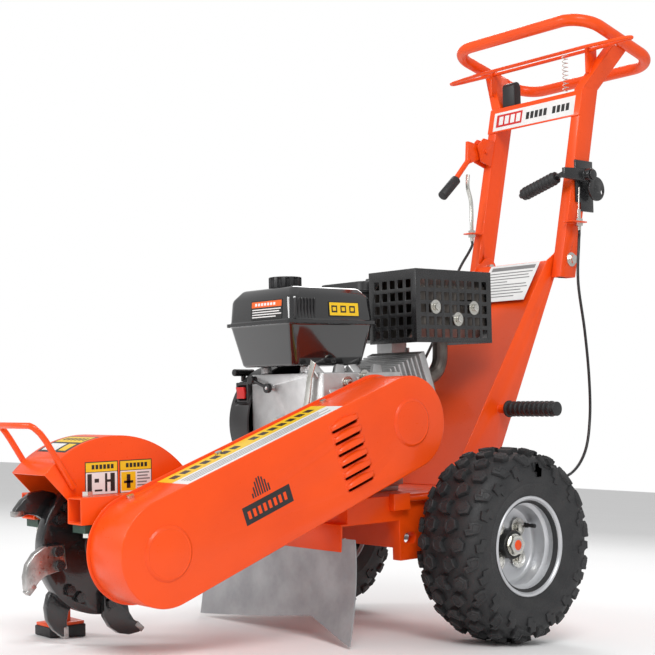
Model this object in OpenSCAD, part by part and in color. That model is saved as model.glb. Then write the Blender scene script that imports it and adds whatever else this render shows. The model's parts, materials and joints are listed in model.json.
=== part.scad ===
// Walk-behind stump grinder, mm. -X is the cutting end, +X the operator, -Y the belt side.
// The floor is z = 0. Modules are drawn about the road-wheel axle with the chassis level; place()
// then lifts them onto the tyres and leans the chassis forward onto its stand.

/* [Wheels] */
// Outside diameter of a tyre over its lugs
tyre_d = 355; // [300:5:420]
// Width of a tyre
tyre_w = 145; // [110:5:150]
// Distance between the centre planes of the two wheels
track = 528; // [520:2:620]
// Diameter of the rim's rolled lip
rim_d = 180; // [170:2:200]
// Diameter of the fixed axle
axle_d = 25; // [18:1:32]
// Height of a tread lug
lug_h = 10; // [4:1:14]

/* [Chassis] */
// Half width of the chassis over its side rails
rail_y = 170; // [150:2:172]
// Height of the rails' underside above the axle
rail_z = 50; // [40:2:70]
// Square section of rails and arms
rail_s = 42; // [36:1:50]
// Wall of the welded tubes
tube_wall = 3; // [2:0.5:4]
// Rear end of the rails, behind the axle
rail_rear = 215; // [190:5:260]
// Front end of the deck, ahead of the axle
deck_front = 300; // [284:2:302]
// Thickness of the deck plate
deck_t = 4; // [3:1:8]

/* [Cutter] */
// Distance from the axle forward to the cutter shaft
cutter_x = 712; // [660:4:800]
// Height of the cutter shaft above the axle
cutter_z = 47; // [30:1:60]
// Radius swept by the tooth tips
tip_r = 157; // [140:1:162]
// Radius of the cutter wheel
disc_r = 112; // [100:1:120]
// Thickness of the cutter wheel
disc_t = 24; // [16:1:30]
// Number of teeth
teeth = 8; // [6:2:12]
// Thickness of a tooth
tooth_t = 14; // [10:1:18]
// Diameter of the cutter shaft
shaft_d = 30; // [24:1:34]
// Middle of the cutter across the machine
cutter_y = -28; // [-40:1:-20]

/* [Hood] */
// Outside radius of the hood
hood_r = 176; // [170:1:190]
// Near face of the hood
hood_near = -82; // [-84:1:-78]
// Far face of the hood
hood_far = 25; // [22:1:30]
// Sheet thickness of hood and guard
sheet = 2.5; // [1.5:0.5:4]
// Diameter of the lifting rod
lift_d = 10; // [8:1:14]

/* [Belt drive] */
// Outer face of the belt guard
guard_near = -227; // [-240:1:-222]
// Inner face of the belt guard, where it meets its back plate
guard_far = -135; // [-138:1:-134]
// End radius of the belt guard
guard_r = 83; // [78:1:90]
// Outside radius of the cutter pulley
cutter_pulley_r = 62; // [50:1:66]
// Outside radius of the engine pulley
drive_pulley_r = 54; // [44:1:60]
// Depth of a belt groove
groove = 11; // [8:1:14]
// Width of a belt
belt_w = 13; // [9:0.5:16]

/* [Engine] */
// Distance from the axle forward to the crankshaft
crank_x = 194; // [180:2:220]
// Height of the crankshaft above the deck's top
crank_h = 132; // [120:1:140]
// Half length of the crankcase
case_y = 105; // [95:1:108]
// Diameter of the crankshaft's drive end
crank_d = 25; // [20:1:28]
// Radius of the blower housing
blower_r = 112; // [100:1:124]
// Fuel tank length along the machine
tank_l = 212; // [170:2:220]
// Fuel tank width across the machine
tank_w = 206; // [170:1:210]
// Fuel tank height
tank_h = 145; // [110:1:160]
// Muffler cage length
cage_l = 212; // [180:2:220]
// Muffler cage width
cage_w = 132; // [110:1:134]
// Muffler cage height
cage_h = 142; // [120:2:160]

/* [Tower and handle] */
// Half width of the rear tower over its side plates
tower_y = 104; // [95:1:104]
// Thickness of the tower's plates
tower_t = 4; // [3:1:6]
// Height of the handle bolt above the axle
hinge_z = 554; // [520:2:600]
// Width of an upright across the machine
upright_w = 25; // [20:1:30]
// Depth of an upright along the machine
upright_l = 50; // [40:1:60]
// Height of the handlebar's front bar above the axle
bar_z = 1063; // [1000:2:1120]
// Half width of the handlebar on its centre line
bar_y = 189; // [170:1:220]
// Length of the handlebar loop along its slope
bar_l = 262; // [220:2:300]
// Diameter of the handlebar tube
bar_d = 26; // [22:1:32]
// Length of a side grip
grip_l = 125; // [100:5:150]

/* [Stand and deflector] */
// Square section of the stand post
post = 25; // [20:1:30]
// Upward travel of the stand post
post_travel = 80; // [40:5:100]
// How far the stand's foot is above the tyres' lowest point while the chassis is level
foot_lift = 67; // [50:1:68]
// Near edge of the chip deflector
flap_near = -205; // [-230:5:-180]
// Far edge of the chip deflector
flap_far = 236; // [180:2:240]
// Depth of the chip deflector
flap_h = 173; // [140:1:174]
// Thickness of the chip deflector
flap_t = 3; // [2:0.5:6]

/* [Fits] */
// Radial clearance of every running fit
run = 0.05; // [0.02:0.01:0.1]
// Gap between neighbours that move past each other
gap = 0.5; // [0.3:0.1:1]

/* [Hidden] */
$fn = 48;
soft_fn = 32;
axle_z = tyre_d / 2;
wheel_y = track / 2;
axle_r = axle_d / 2;
lip_w = 62;
rim_well_r = 74;
hub_out = 22;
hub_in = 64;
brake_r = 54;
brake_t = 6;
axle_end = wheel_y + 33;
carrier_y = 20;
caliper_y = wheel_y - 47;
rail_top = rail_z + rail_s;
deck_z = rail_top + deck_t;
deck_rear = rail_rear;

shaft_r = shaft_d / 2;
bearing_h = 42;
bearing_w = 38;
arm_z = cutter_z + bearing_h;
arm_near = hood_near - rail_s;
arm_far = hood_far + rail_s;
arm_front = cutter_x + 90;
arm_plate = 6;
near_bearing_y = hood_near - rail_s / 2;
far_bearing_y = hood_far + rail_s / 2;
bolt_x = 66;
bolt_r = 5;
weld = 1;

crank_z = deck_z + crank_h;
crank_r = crank_d / 2;
guard_l = norm([cutter_x - crank_x, crank_z - cutter_z]);
guard_a = atan2(crank_z - cutter_z, cutter_x - crank_x);
back_t = 3;
belt_y = -180;
belt_pitch = 20;
groove_w = belt_w + 2 * gap;
pulley_w = 44;
clutch_w = 16;
emboss_r = 39.5;
emboss_h = 3;
louvre_u = guard_l - 150;
screw_u = [10, 190, 430];
screw_y = -150;

case_front = crank_x + 100;
case_rear = crank_x - 94;
case_top = crank_z + 92;
case_wall = 8;
foot_bolt_x = [-50, 75];
bore_tilt = 20;
head_d = 222;
cover_d = 250;
port_y = 52;
fin_y = 75;
fin_n = 60;
blower_out = case_y + 60;
recoil_r = 92;
recoil_out = blower_out + 25;
throttle_y = 40;
throttle_z = crank_z + 66;
switch_y = [case_y + 4, case_y + 44];
switch_z = crank_z + 58;
pull_x = -258;
pull_y = blower_out + 13;
pull_z = crank_z + 80;
tank_front = 342;
tank_near = -80;
tank_corner = 14;
tank_z = case_top + 14;
seam_z = tank_z + 0.55 * tank_h;
cap_x = -274;
cap_y = 22;
neck_r = 22;
cap_r = 31;
cage_front = -62;
cage_near = -112;
cage_z = 376;
cage_t = 2;
box_gap = 9;
muffler_x = [cage_front + box_gap, cage_front + cage_l - box_gap];
muffler_y = [cage_near + box_gap, cage_near + cage_w - box_gap];
muffler_z = [cage_z + box_gap, cage_z + cage_h - box_gap];
cleaner_x = [-56, 122];
cleaner_y = [38, 186];
cleaner_z = [386, 506];

hinge_x = 382;
slope = 0.231;
front_x = hinge_x - 34;
upright_in = tower_y + 3;
upright_out = upright_in + upright_w;
upright_z = hinge_z - 38;
bend_z = hinge_z + 376;
tower_front = 24;
tower_rear = 144;
tower_lean = (front_x - tower_front - 8) / (hinge_z - deck_z);
bar_x = 372;
bar_r = bar_d / 2;
bar_tilt = 14.6;
bar_bend = 60;
bail_z = 1012;
bail_x = 455;
bail_w = 30;
bail_end = 262;
bail_r = 4;
grip_x = 178;
grip_z = 243;
stub_l = 22;
lever_x = 425;
lever_z = 735;
toggle_x = 405;
toggle_z = 822;
toggle_y = upright_in + 5;
toggle_tip = [288, toggle_y + 8, 738];
stop_z = 634;
stop_r = 4;
stop_l = 18;
cable_d = 6;

stand_x = -cutter_x - 12;
stand_y = arm_far + 17;
stand_wall = 4;
foot_h = 16;
foot_l = 68;
foot_w = 52;
foot_z = foot_lift - axle_z;
foot_reach = foot_l / 2 - stand_x;
lean = asin(axle_z / norm([foot_reach, foot_z])) - atan2(-foot_z, foot_reach);
flap_x = -deck_front - 14;
flap_z = 30;

near_stop = [396, -upright_out - 13, stop_z];
far_stop = [350, toggle_y + 8, stop_z];
lever_root = [lever_x - 66, -upright_out - 8, lever_z];
lever_tip = [lever_x - 66, -18, lever_z - 34];

orange = [0.95, 0.32, 0.05];
black = [0.06, 0.06, 0.07];
steel = [0.72, 0.73, 0.75];
alloy = [0.75, 0.76, 0.78];
rubber = [0.09, 0.09, 0.09];

brake_route = [near_stop - [0, 0, stop_l], near_stop - [0, 0, stop_l + 9], [386, -151, 588], [372, -157, 504], [389, -157, 403], [399, -157, 306],
  [394, -160, 220], [362, -170, 150], [300, -180, 108], [215, -181, 96], [130, -181, 84], [70, -183, 66],
  [44, -194, 56], [37, -198, 47]];
toggle_route = [far_stop - [0, 0, stop_l], far_stop - [0, 0, stop_l + 9], [338, 120, 590], [300, 121, 540], [250, 121, 440], [190, 124, 345],
  [122, 138, 255], [96, 158, 175], [86, 178, 115], [70, 183, 76], [44, 194, 56],
  [37, 198, 47]];
elbow_route = [[0, 0], [24, 3], [44, 20], [48, 44]];

// A box from its low and high limits on each axis.
module bx(x, y, z)
  translate([x[0], y[0], z[0]])
    cube([x[1] - x[0], y[1] - y[0], z[1] - z[0]]);

// A round bar along Y.
module cy(x, z, y0, y1, r)
  translate([x, y1, z])
    rotate([90, 0, 0])
      cylinder(h = y1 - y0, r = r);

// A round bar between two points.
module rod(a, b, r) {
  d = b - a;
  translate(a)
    rotate([0, acos(d[2] / norm(d)), atan2(d[1], d[0])])
      cylinder(h = norm(d), r = r);
}

// A flat outline in X and Z given a thickness along Y.
module xz(y0, y1)
  translate([0, y1, 0])
    rotate([90, 0, 0])
      linear_extrude(y1 - y0)
        children();

// The same thing on both sides of the machine.
module both() {
  children();
  mirror([0, 1, 0])
    children();
}

// A hexagon head with its foot at p, pointing along Z.
module hexhead(r, h)
  cylinder(h = h, r = r, $fn = 6);

function spline(p, s) = let (n = len(p)) [
  for (i = [0 : n - 2])
    let (a = p[max(i - 1, 0)], b = p[i], c = p[i + 1], d = p[min(i + 2, n - 1)])
      for (k = [0 : s - 1 + (i == n - 2 ? 1 : 0)])
        let (t = k / s)
          ((2 * b) + (c - a) * t + (2 * a - 5 * b + 4 * c - d) * t * t
            + (3 * b - a - 3 * c + d) * t * t * t) / 2];
function unit(v) = v / norm(v);

// A round cord swept along points, with its sides measured from a reference direction.
module cord(p, r, sides = 10, ref = [0, 1, 0]) {
  n = len(p);
  rings = [for (i = [0 : n - 1])
    let (t = unit(p[min(i + 1, n - 1)] - p[max(i - 1, 0)]), u = unit(cross(ref, t)), v = cross(t, u))
      for (k = [0 : sides - 1])
        p[i] + r * (u * cos(k * 360 / sides) + v * sin(k * 360 / sides))];
  walls = [for (i = [0 : n - 2], k = [0 : sides - 1])
    let (m = (k + 1) % sides)
      [i * sides + k, i * sides + m, (i + 1) * sides + m, (i + 1) * sides + k]];
  caps = [[for (k = [0 : sides - 1]) sides - 1 - k], [for (k = [0 : sides - 1]) (n - 1) * sides + k]];
  polyhedron(points = rings, faces = concat([for (w = walls) [w[3], w[2], w[1], w[0]]],
    [for (c = caps) [for (k = [0 : sides - 1]) c[sides - 1 - k]]]), convexity = 8);
}

// ---- Chassis ----

module rail_tube(x, y, z)
  difference() {
    bx(x, y, z);
    bx([x[0] - 1, x[1] + 1], y + [tube_wall, -tube_wall], z + [tube_wall, -tube_wall]);
  }

module bolt_holes(top, deep)
  for (y = [near_bearing_y, far_bearing_y], s = [-1, 1])
    translate([-cutter_x + s * bolt_x, y, top - deep])
      cylinder(h = deep + 1, r = bolt_r);

module engine_bolts()
  for (x = foot_bolt_x, y = [-70, 70])
    translate([x - crank_x, y, 0])
      children();

module main_frame()
  color(orange) {
    both()
      rail_tube([-deck_front + rail_s, rail_rear], [rail_y - rail_s, rail_y], [rail_z, rail_top]);
    bx([-deck_front, -deck_front + rail_s], [-rail_y, rail_y], [rail_z, rail_top]);
    bx([-deck_front - arm_plate, -deck_front + 1], [arm_near, arm_far], [rail_z + 20, arm_z + rail_s]);
    difference() {
      bx([-deck_front, deck_rear], [-rail_y, rail_y], [rail_top, deck_z]);
      bx([60, deck_rear - 30], [-80, 80], [rail_top - 1, deck_z + 1]);
      engine_bolts()
        translate([0, 0, rail_top - 1])
          cylinder(h = deck_t + 2, r = bolt_r);
    }
    for (y = [[arm_near, hood_near], [hood_far, arm_far]])
      difference() {
        rail_tube([-arm_front, -deck_front - arm_plate + 1], y, [arm_z, arm_z + rail_s]);
        bolt_holes(arm_z + rail_s, rail_s + 1);
      }
    both()
      difference() {
        bx([-175, 60], [rail_y - carrier_y, rail_y], [-22, rail_z]);
        cy(0, 0, 0, rail_y + 1, axle_r);
        for (x = [-154, -144])
          cy(x, 17, 0, rail_y + 1, 10);
        bx([-154, -144], [0, rail_y + 1], [7, 27]);
      }
    bx([-175, -155], [carrier_y - rail_y, rail_y - carrier_y], [0, rail_z]);
    bx([40, 60], [carrier_y - rail_y, rail_y - carrier_y], [0, rail_z]);
    xz(-rail_y, rail_y)
      polygon([[-deck_front + 1, rail_z], [-deck_front + 1, rail_z + 4], [flap_x - 2, rail_z + 4],
        [flap_x - 2, flap_z - 24], [flap_x + 2, flap_z - 24], [flap_x + 2, rail_z]]);
    stand_sleeve();
  }

module stand_sleeve()
  difference() {
    bx([stand_x - post / 2 - stand_wall, stand_x + post / 2 + stand_wall],
      [arm_far, stand_y + post / 2 + stand_wall], [arm_z - 30, arm_z + rail_s]);
    bx([stand_x - post / 2 - run, stand_x + post / 2 + run],
      [stand_y - post / 2 - run, stand_y + post / 2 + run], [arm_z - 31, arm_z + rail_s + 1]);
    cy(stand_x, arm_z + 20, stand_y, stand_y + 40, 5 + run);
  }

module rear_tower()
  color(orange) {
    both()
      difference() {
        union() {
          xz(tower_y - tower_t, tower_y) {
            polygon([[tower_front, deck_z], [tower_rear, deck_z], [hinge_x - 10, hinge_z - 14],
              [hinge_x - 10, hinge_z + 20], [tower_front + tower_lean * (hinge_z - deck_z), hinge_z]]);
            translate([hinge_x, hinge_z])
              circle(24);
          }
          cy(grip_x, grip_z, tower_y, tower_y + stub_l + grip_l - 6, 9);
        }
        cy(hinge_x, hinge_z, 0, tower_y + 1, 6);
      }
    xz(tower_t - tower_y, tower_y - tower_t)
      polygon([[tower_front + 8, deck_z], [tower_front + 12, deck_z],
        [tower_front + 12 + tower_lean * (hinge_z - deck_z), hinge_z],
        [tower_front + 8 + tower_lean * (hinge_z - deck_z), hinge_z]]);
    bx([tower_rear - 12, tower_rear - 8], [tower_t - tower_y, tower_y - tower_t], [deck_z, deck_z + 50]);
    cy(hinge_x - 46, hinge_z - 56, tower_t - tower_y, tower_y - tower_t, 9);
  }

module fixed_axle()
  color(steel)
    union() {
      cy(0, 0, -axle_end, axle_end, axle_r);
      both()
        cy(0, 0, rail_y, wheel_y - hub_in - gap, axle_r + 6);
    }

module axle_nuts()
  color(steel)
    both()
      difference() {
        union() {
          cy(0, 0, wheel_y + hub_out + gap, wheel_y + hub_out + gap + 2.5, 20);
          translate([0, wheel_y + hub_out + gap + 2.5 + 8, 0])
            rotate([90, 0, 0])
              hexhead(19, 8);
        }
        cy(0, 0, wheel_y, axle_end + 1, axle_r);
      }

module brake_calipers()
  color(black)
    both() {
      bx([20, 60], [rail_y, rail_y + 6], [-15, 48]);
      difference() {
        bx([28, 46], [rail_y + 6, caliper_y + 9], [28, 46]);
        cy(0, 0, caliper_y - brake_t / 2 - gap, caliper_y + brake_t / 2 + gap, brake_r + gap);
      }
    }

// ---- Cutter ----

module cutter_bearings()
  color([0.1, 0.22, 0.16])
    for (y = [near_bearing_y, far_bearing_y])
      difference() {
        union() {
          bx([-cutter_x - 82, -cutter_x + 82], [y - bearing_w / 2, y + bearing_w / 2], [arm_z - 13, arm_z]);
          cy(-cutter_x, cutter_z, y - bearing_w / 2, y + bearing_w / 2, 36);
          bx([-cutter_x - 36, -cutter_x + 36], [y - bearing_w / 2, y + bearing_w / 2], [cutter_z, arm_z - 5]);
        }
        cy(-cutter_x, cutter_z, y - bearing_w, y + bearing_w, shaft_r + run);
        bolt_holes(arm_z, 30);
      }

module frame_bolts()
  color(steel) {
    for (y = [near_bearing_y, far_bearing_y], s = [-1, 1])
      translate([-cutter_x + s * bolt_x, y, arm_z - 13]) {
        translate([0, 0, -8])
          hexhead(9, 8);
        cylinder(h = rail_s + 13, r = bolt_r);
        translate([0, 0, rail_s + 13])
          hexhead(9, 8);
      }
    engine_bolts() {
      translate([0, 0, deck_z + 12])
        hexhead(9, 7);
      translate([0, 0, rail_top - 8])
        cylinder(h = deck_t + 20, r = bolt_r);
      translate([0, 0, rail_top - 8])
        hexhead(9, 8);
    }
  }

module hood_cut()
  polygon([[-63, 52], [-190, 183], [190, 183], [190, 52]]);

module cutter_hood()
  color(orange) {
    translate([-cutter_x, 0, cutter_z]) {
      for (y = [hood_near, hood_far - sheet])
        xz(y, y + sheet)
          intersection() {
            circle(hood_r, $fn = 96);
            hood_cut();
          }
      xz(hood_near, hood_far)
        intersection() {
          difference() {
            circle(hood_r, $fn = 96);
            circle(hood_r - sheet, $fn = 96);
          }
          hood_cut();
        }
    }
    lifting_rod();
  }

// The bent rod welded to both plates of the hood, which lifts the cutting end.
module lifting_rod() {
  leg = [[-80, 0, 97], [-128, 0, 172], [-137, 1, 184], [-146, 4, 193], [-150, 10, 196]];
  near = hood_near - lift_d / 2 + weld;
  far = hood_far + lift_d / 2 - weld;
  route = concat([for (p = leg) [p[0], near + p[1], p[2]]],
    [for (i = [len(leg) - 1 : -1 : 0]) [leg[i][0], far - leg[i][1], leg[i][2]]]);
  translate([-cutter_x, 0, cutter_z])
    cord(route, lift_d / 2, 12, [0.84, 0, 0.54]);
}

module cutter_shaft()
  color(steel)
    cy(-cutter_x, cutter_z, -212, arm_far - 1, shaft_r);

module cutter_wheel()
  color(black)
    difference() {
      union() {
        cy(-cutter_x, cutter_z, cutter_y - disc_t / 2, cutter_y + disc_t / 2, disc_r);
        cy(-cutter_x, cutter_z, cutter_y - disc_t / 2 - 12, cutter_y + disc_t / 2 + 12, 34);
      }
      cy(-cutter_x, cutter_z, hood_near, hood_far, shaft_r);
      tooth_places(disc_t / 2)
        for (p = [[disc_r - 20, -11], [disc_r - 20, 11]])
          translate([p[0], p[1], 0])
            cylinder(h = 4 * disc_t, r = bolt_r, center = true);
    }

// Each tooth's own place: x outwards, y the way the rim runs, z away from the wheel's face.
module tooth_places(off)
  translate([-cutter_x, cutter_y, cutter_z])
    for (i = [0 : teeth - 1])
      rotate([90, 0, 0])
        rotate([0, 0, i * 360 / teeth + 8])
          translate([0, 0, (i % 2 == 0 ? 1 : -1) * off])
            mirror([0, 0, i % 2])
              children();

module cutter_teeth()
  color(black)
    tooth_places(disc_t / 2)
      linear_extrude(tooth_t)
        difference() {
          polygon([[disc_r - 34, -20], [disc_r - 34, 20], [disc_r + 4, 22], [tip_r - 28, 28], [tip_r - 17, 38],
            [tip_r - 8, 46], [tip_r - 4, 34], [tip_r - 5, 16], [tip_r - 12, -2], [tip_r - 26, -16], [disc_r, -24]]);
          for (y = [-11, 11])
            translate([disc_r - 20, y])
              circle(bolt_r);
        }

module tooth_bolts()
  color(steel)
    tooth_places(disc_t / 2)
      for (y = [-11, 11])
        translate([disc_r - 20, y, -disc_t]) {
          cylinder(h = disc_t + tooth_t, r = bolt_r);
          translate([0, 0, disc_t + tooth_t])
            hexhead(8.5, 7);
          translate([0, 0, -7])
            hexhead(8.5, 7);
        }

// ---- Belt drive ----

// The belt run's own frame: x from the cutter shaft to the crankshaft.
module run_frame()
  translate([-cutter_x, cutter_z])
    rotate(guard_a)
      children();

module slot2d(r)
  run_frame() {
    circle(r, $fn = 72);
    translate([guard_l, 0])
      circle(r, $fn = 72);
    translate([0, -r])
      square([guard_l, 2 * r]);
  }

module guard_back_plate()
  color(orange) {
    difference() {
      xz(guard_far, guard_far + back_t)
        difference() {
          slot2d(guard_r + 4);
          translate([-cutter_x, cutter_z])
            circle(24);
          translate([-crank_x, crank_z])
            circle(30);
        }
    }
    for (x = [-cutter_x + 90, -cutter_x + 200, -cutter_x + 310])
      cy(x, arm_z + rail_s / 2, guard_far + back_t, arm_near, 9);
  }

module screw_places()
  for (u = screw_u, s = [-1, 1])
    translate([-cutter_x, screw_y, cutter_z])
      rotate([0, -guard_a, 0])
        translate([u, 0, s * (guard_r - sheet)])
          rotate([s > 0 ? 0 : 180, 0, 0])
            children();

module belt_guard()
  color(orange)
    difference() {
      union() {
        xz(guard_near, guard_far)
          slot2d(guard_r);
        for (p = [[-cutter_x, cutter_z], [-crank_x, crank_z]])
          cy(p[0], p[1], guard_near - emboss_h, guard_near, emboss_r);
        xz(guard_near - emboss_h, guard_near)
          run_frame()
            for (i = [0 : 5])
              translate([louvre_u - 33, 58 - 21 * i - 5])
                square([66, 10]);
      }
      xz(guard_near + sheet, guard_far + 1)
        slot2d(guard_r - sheet);
      xz(guard_near - 1, guard_near + sheet + 1)
        run_frame()
          for (i = [0 : 5])
            translate([louvre_u - 30, 58 - 21 * i - 10])
              square([60, 5]);
      screw_places()
        translate([0, 0, -2])
          cylinder(h = sheet + 4, r = 3);
    }

module guard_screws()
  color(steel)
    screw_places() {
      translate([0, 0, -6])
        cylinder(h = sheet + 6, r = 3);
      translate([0, 0, sheet])
        cylinder(h = 4, r = 6);
    }

module pulley(r, bore)
  rotate([90, 0, 0])
    rotate_extrude($fn = 72)
      difference() {
        translate([bore, -pulley_w / 2])
          square([r - bore, pulley_w]);
        for (s = [-1, 1])
          translate([r - groove, s * belt_pitch / 2 - groove_w / 2])
            square([groove + 1, groove_w]);
      }

module cutter_pulley()
  color([0.3, 0.3, 0.32])
    translate([-cutter_x, belt_y, cutter_z])
      pulley(cutter_pulley_r, shaft_r);

module clutch_pulley()
  color([0.3, 0.3, 0.32]) {
    translate([-crank_x, belt_y, crank_z])
      pulley(drive_pulley_r, crank_r);
    difference() {
      cy(-crank_x, crank_z, belt_y + pulley_w / 2, belt_y + pulley_w / 2 + clutch_w, drive_pulley_r - 4);
      cy(-crank_x, crank_z, belt_y, belt_y + 80, crank_r);
    }
  }

module belt_loop(inset)
  hull() {
    circle(cutter_pulley_r - inset, $fn = 64);
    translate([guard_l, 0])
      circle(drive_pulley_r - inset, $fn = 64);
  }

module drive_belts()
  color(rubber)
    for (s = [-1, 1])
      xz(belt_y + s * belt_pitch / 2 - belt_w / 2, belt_y + s * belt_pitch / 2 + belt_w / 2)
        run_frame()
          difference() {
            belt_loop(1);
            belt_loop(groove - gap);
          }

module belt_tensioner()
  color(orange) {
    bx([-200, -160], [-rail_y - 14, -rail_y], [deck_z - 26, deck_z + 4]);
    rod([-160, -rail_y - 7, deck_z - 8], [-84, -rail_y - 7, deck_z - 8], 5);
    translate([-108, -rail_y - 7, deck_z - 8])
      rotate([0, 90, 0])
        hexhead(6.5, 8);
    bx([-100, -94], [-rail_y - 14, -rail_y], [deck_z - 20, deck_z + 2]);
  }

// ---- Engine ----

module crankcase()
  color(alloy)
    difference() {
      union() {
        bx([-crank_x - 105, -crank_x + 95], [-92, 92], [deck_z, deck_z + 12]);
        bx([-case_front, -case_rear], [-case_y, case_y], [deck_z + 12, case_top]);
        cy(-crank_x, crank_z, guard_far + back_t, -case_y, 46);
        for (x = [-case_front + 14, -case_rear - 60], y = [tank_near + 40, tank_near + tank_w - 50])
          translate([x, y, case_top])
            cylinder(h = tank_z - case_top, r = 10);
        rod([-case_front, throttle_y, throttle_z], [-case_front - 18, throttle_y, throttle_z], 4);
      }
      bx([-case_front + case_wall, -case_rear - case_wall], [-case_y + case_wall, case_y - case_wall],
        [deck_z + 12 + case_wall, case_top - case_wall]);
      cy(-crank_x, crank_z, -200, 200, crank_r + run);
      cy(-crank_x, crank_z, guard_far - 1, -case_y - 10, 34);
      engine_bolts()
        cylinder(h = 200, r = bolt_r);
      engine_bolts()
        translate([-12, -12, deck_z + 12])
          cube([24, 24, 16]);
      bore_frame()
        translate([60, 0, 0])
          rotate([0, 90, 0])
            cylinder(h = 80, r = 44);
    }

module bore_frame()
  translate([-crank_x, 0, crank_z])
    rotate([0, -bore_tilt, 0])
      children();

module cylinder_head()
  color(alloy)
    difference() {
      bore_frame() {
        translate([70, 0, 0])
          rotate([0, 90, 0])
            cylinder(h = head_d - 72, r = 50);
        for (i = [0 : 8])
          bx([head_d - 112 + 12 * i, head_d - 108 + 12 * i], [-fin_y, fin_y], [-fin_n, fin_n]);
        bx([head_d - 12, head_d], [-fin_y, fin_y], [-fin_n, fin_n]);
        bx([head_d, cover_d], [-30, 44], [-44, 40]);
      }
      bx([-400, -case_rear], [-200, 200], [0, 600]);
      bore_frame()
        translate([60, 0, 0])
          rotate([0, 90, 0])
            cylinder(h = head_d - 90, r = 44);
    }

module blower_housing()
  color(black)
    difference() {
      union() {
        cy(-crank_x, crank_z, case_y, blower_out, blower_r);
        cy(-crank_x, crank_z, blower_out, recoil_out, recoil_r);
        bx([-case_front - 6, -case_front + 26], switch_y, [switch_z - 20, switch_z + 20]);
        translate([pull_x, pull_y, pull_z - 30])
          cylinder(h = 30, r = 9);
      }
      bx([-case_front - 7, -case_front + 2], switch_y + [7, -7], [switch_z - 14, switch_z + 14]);
      cy(-crank_x, crank_z, case_y - 1, blower_out - 3, blower_r - 3);
      cy(-crank_x, crank_z, case_y - 1, recoil_out - 3, recoil_r - 3);
      for (a = [0 : 30 : 330])
        translate([-crank_x, recoil_out, crank_z])
          rotate([0, a, 0])
            bx([34, 74], [-5, 1], [-4, 4]);
    }

module crankshaft()
  color(steel) {
    cy(-crank_x, crank_z, -210, blower_out - 24, crank_r);
    difference() {
      for (y = [-46, 22])
        cy(-crank_x, crank_z, y, y + 24, 52);
      bx([-crank_x + 16, -crank_x + 60], [-60, 60], [crank_z - 60, crank_z + 60]);
    }
    cy(-crank_x, crank_z, case_y + 12, blower_out - 20, blower_r - 20);
  }

module slab(x, y, z, h, inset, r)
  for (i = [0, 1], j = [0, 1])
    translate([x[i] + (i == 0 ? 1 : -1) * (r + inset), y[j] + (j == 0 ? 1 : -1) * (r + inset), z])
      cylinder(h = h, r = r, $fn = soft_fn);

module tank_form(t) {
  x = [-tank_front + t, -tank_front + tank_l - t];
  y = [tank_near + t, tank_near + tank_w - t];
  hull() {
    slab(x, y, seam_z - 1, 1, 5, tank_corner + 2);
    slab(x, y, tank_z + t, 1, 22, tank_corner);
  }
  hull() {
    slab(x, y, seam_z - 1, 1, 5, tank_corner + 2);
    slab(x, y, tank_z + tank_h * 0.86 - t, 1, 8, tank_corner + 2);
    slab(x, y, tank_z + tank_h - t - 1, 1, 24, tank_corner);
  }
}

module fuel_tank()
  color(black)
    difference() {
      union() {
        tank_form(0);
        hull()
          slab([-tank_front, -tank_front + tank_l], [tank_near, tank_near + tank_w], seam_z - 2, 4, 0, tank_corner);
        translate([cap_x, cap_y, tank_z + tank_h - 2])
          cylinder(h = 14, r = neck_r);
      }
      tank_form(3);
      translate([cap_x, cap_y, tank_z + tank_h - 10])
        cylinder(h = 30, r = neck_r - 4);
    }

module fuel_cap()
  color(black)
    translate([cap_x, cap_y, tank_z + tank_h + gap])
      difference() {
        cylinder(h = 22, r = cap_r);
        translate([0, 0, -1])
          cylinder(h = 13, r = neck_r + run);
        for (a = [0 : 30 : 330])
          rotate([0, 0, a])
            translate([cap_r + 1, 0, -1])
              cylinder(h = 20, r = 4);
      }

module air_cleaner()
  color(black)
    difference() {
      union() {
        hull()
          slab(cleaner_x, cleaner_y, cleaner_z[0], cleaner_z[1] - cleaner_z[0], 0, 24);
        hull()
          slab(cleaner_x, cleaner_y, cleaner_z[1] - 24, 4, -3, 24);
        translate([(cleaner_x[0] + cleaner_x[1]) / 2, (cleaner_y[0] + cleaner_y[1]) / 2, cleaner_z[1]])
          cylinder(h = 12, r = 14);
      }
      translate([0, 0, 3])
        hull()
          slab(cleaner_x, cleaner_y, cleaner_z[0], cleaner_z[1] - cleaner_z[0] - 6, 3, 21);
    }

module carburettor()
  color(alloy)
    difference() {
      union() {
        bx([24, 66], [48, 92], [312, cleaner_z[0]]);
        bore_frame()
          translate([head_d, 62, 0])
            rotate([0, 90, 0])
              cylinder(h = 34, r = 13);
        bx([66, 70], [44, 96], [330, 372]);
      }
      translate([45, 70, 340])
        cylinder(h = 60, r = 12);
    }

module muffler()
  color([0.35, 0.35, 0.36])
    translate([muffler_x[0], 0, 0])
      rotate([90, 0, 90])
        linear_extrude(muffler_x[1] - muffler_x[0])
          difference() {
            bevel_box(muffler_y, muffler_z, 22);
            bevel_box(muffler_y + [2, -2], muffler_z + [2, -2], 22);
          }

module bevel_box(y, z, c)
  polygon([[y[0] + c, z[0]], [y[1] - c, z[0]], [y[1], z[0] + c], [y[1], z[1] - c], [y[1] - c, z[1]],
    [y[0] + c, z[1]], [y[0], z[1] - c], [y[0], z[0] + c]]);

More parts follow.
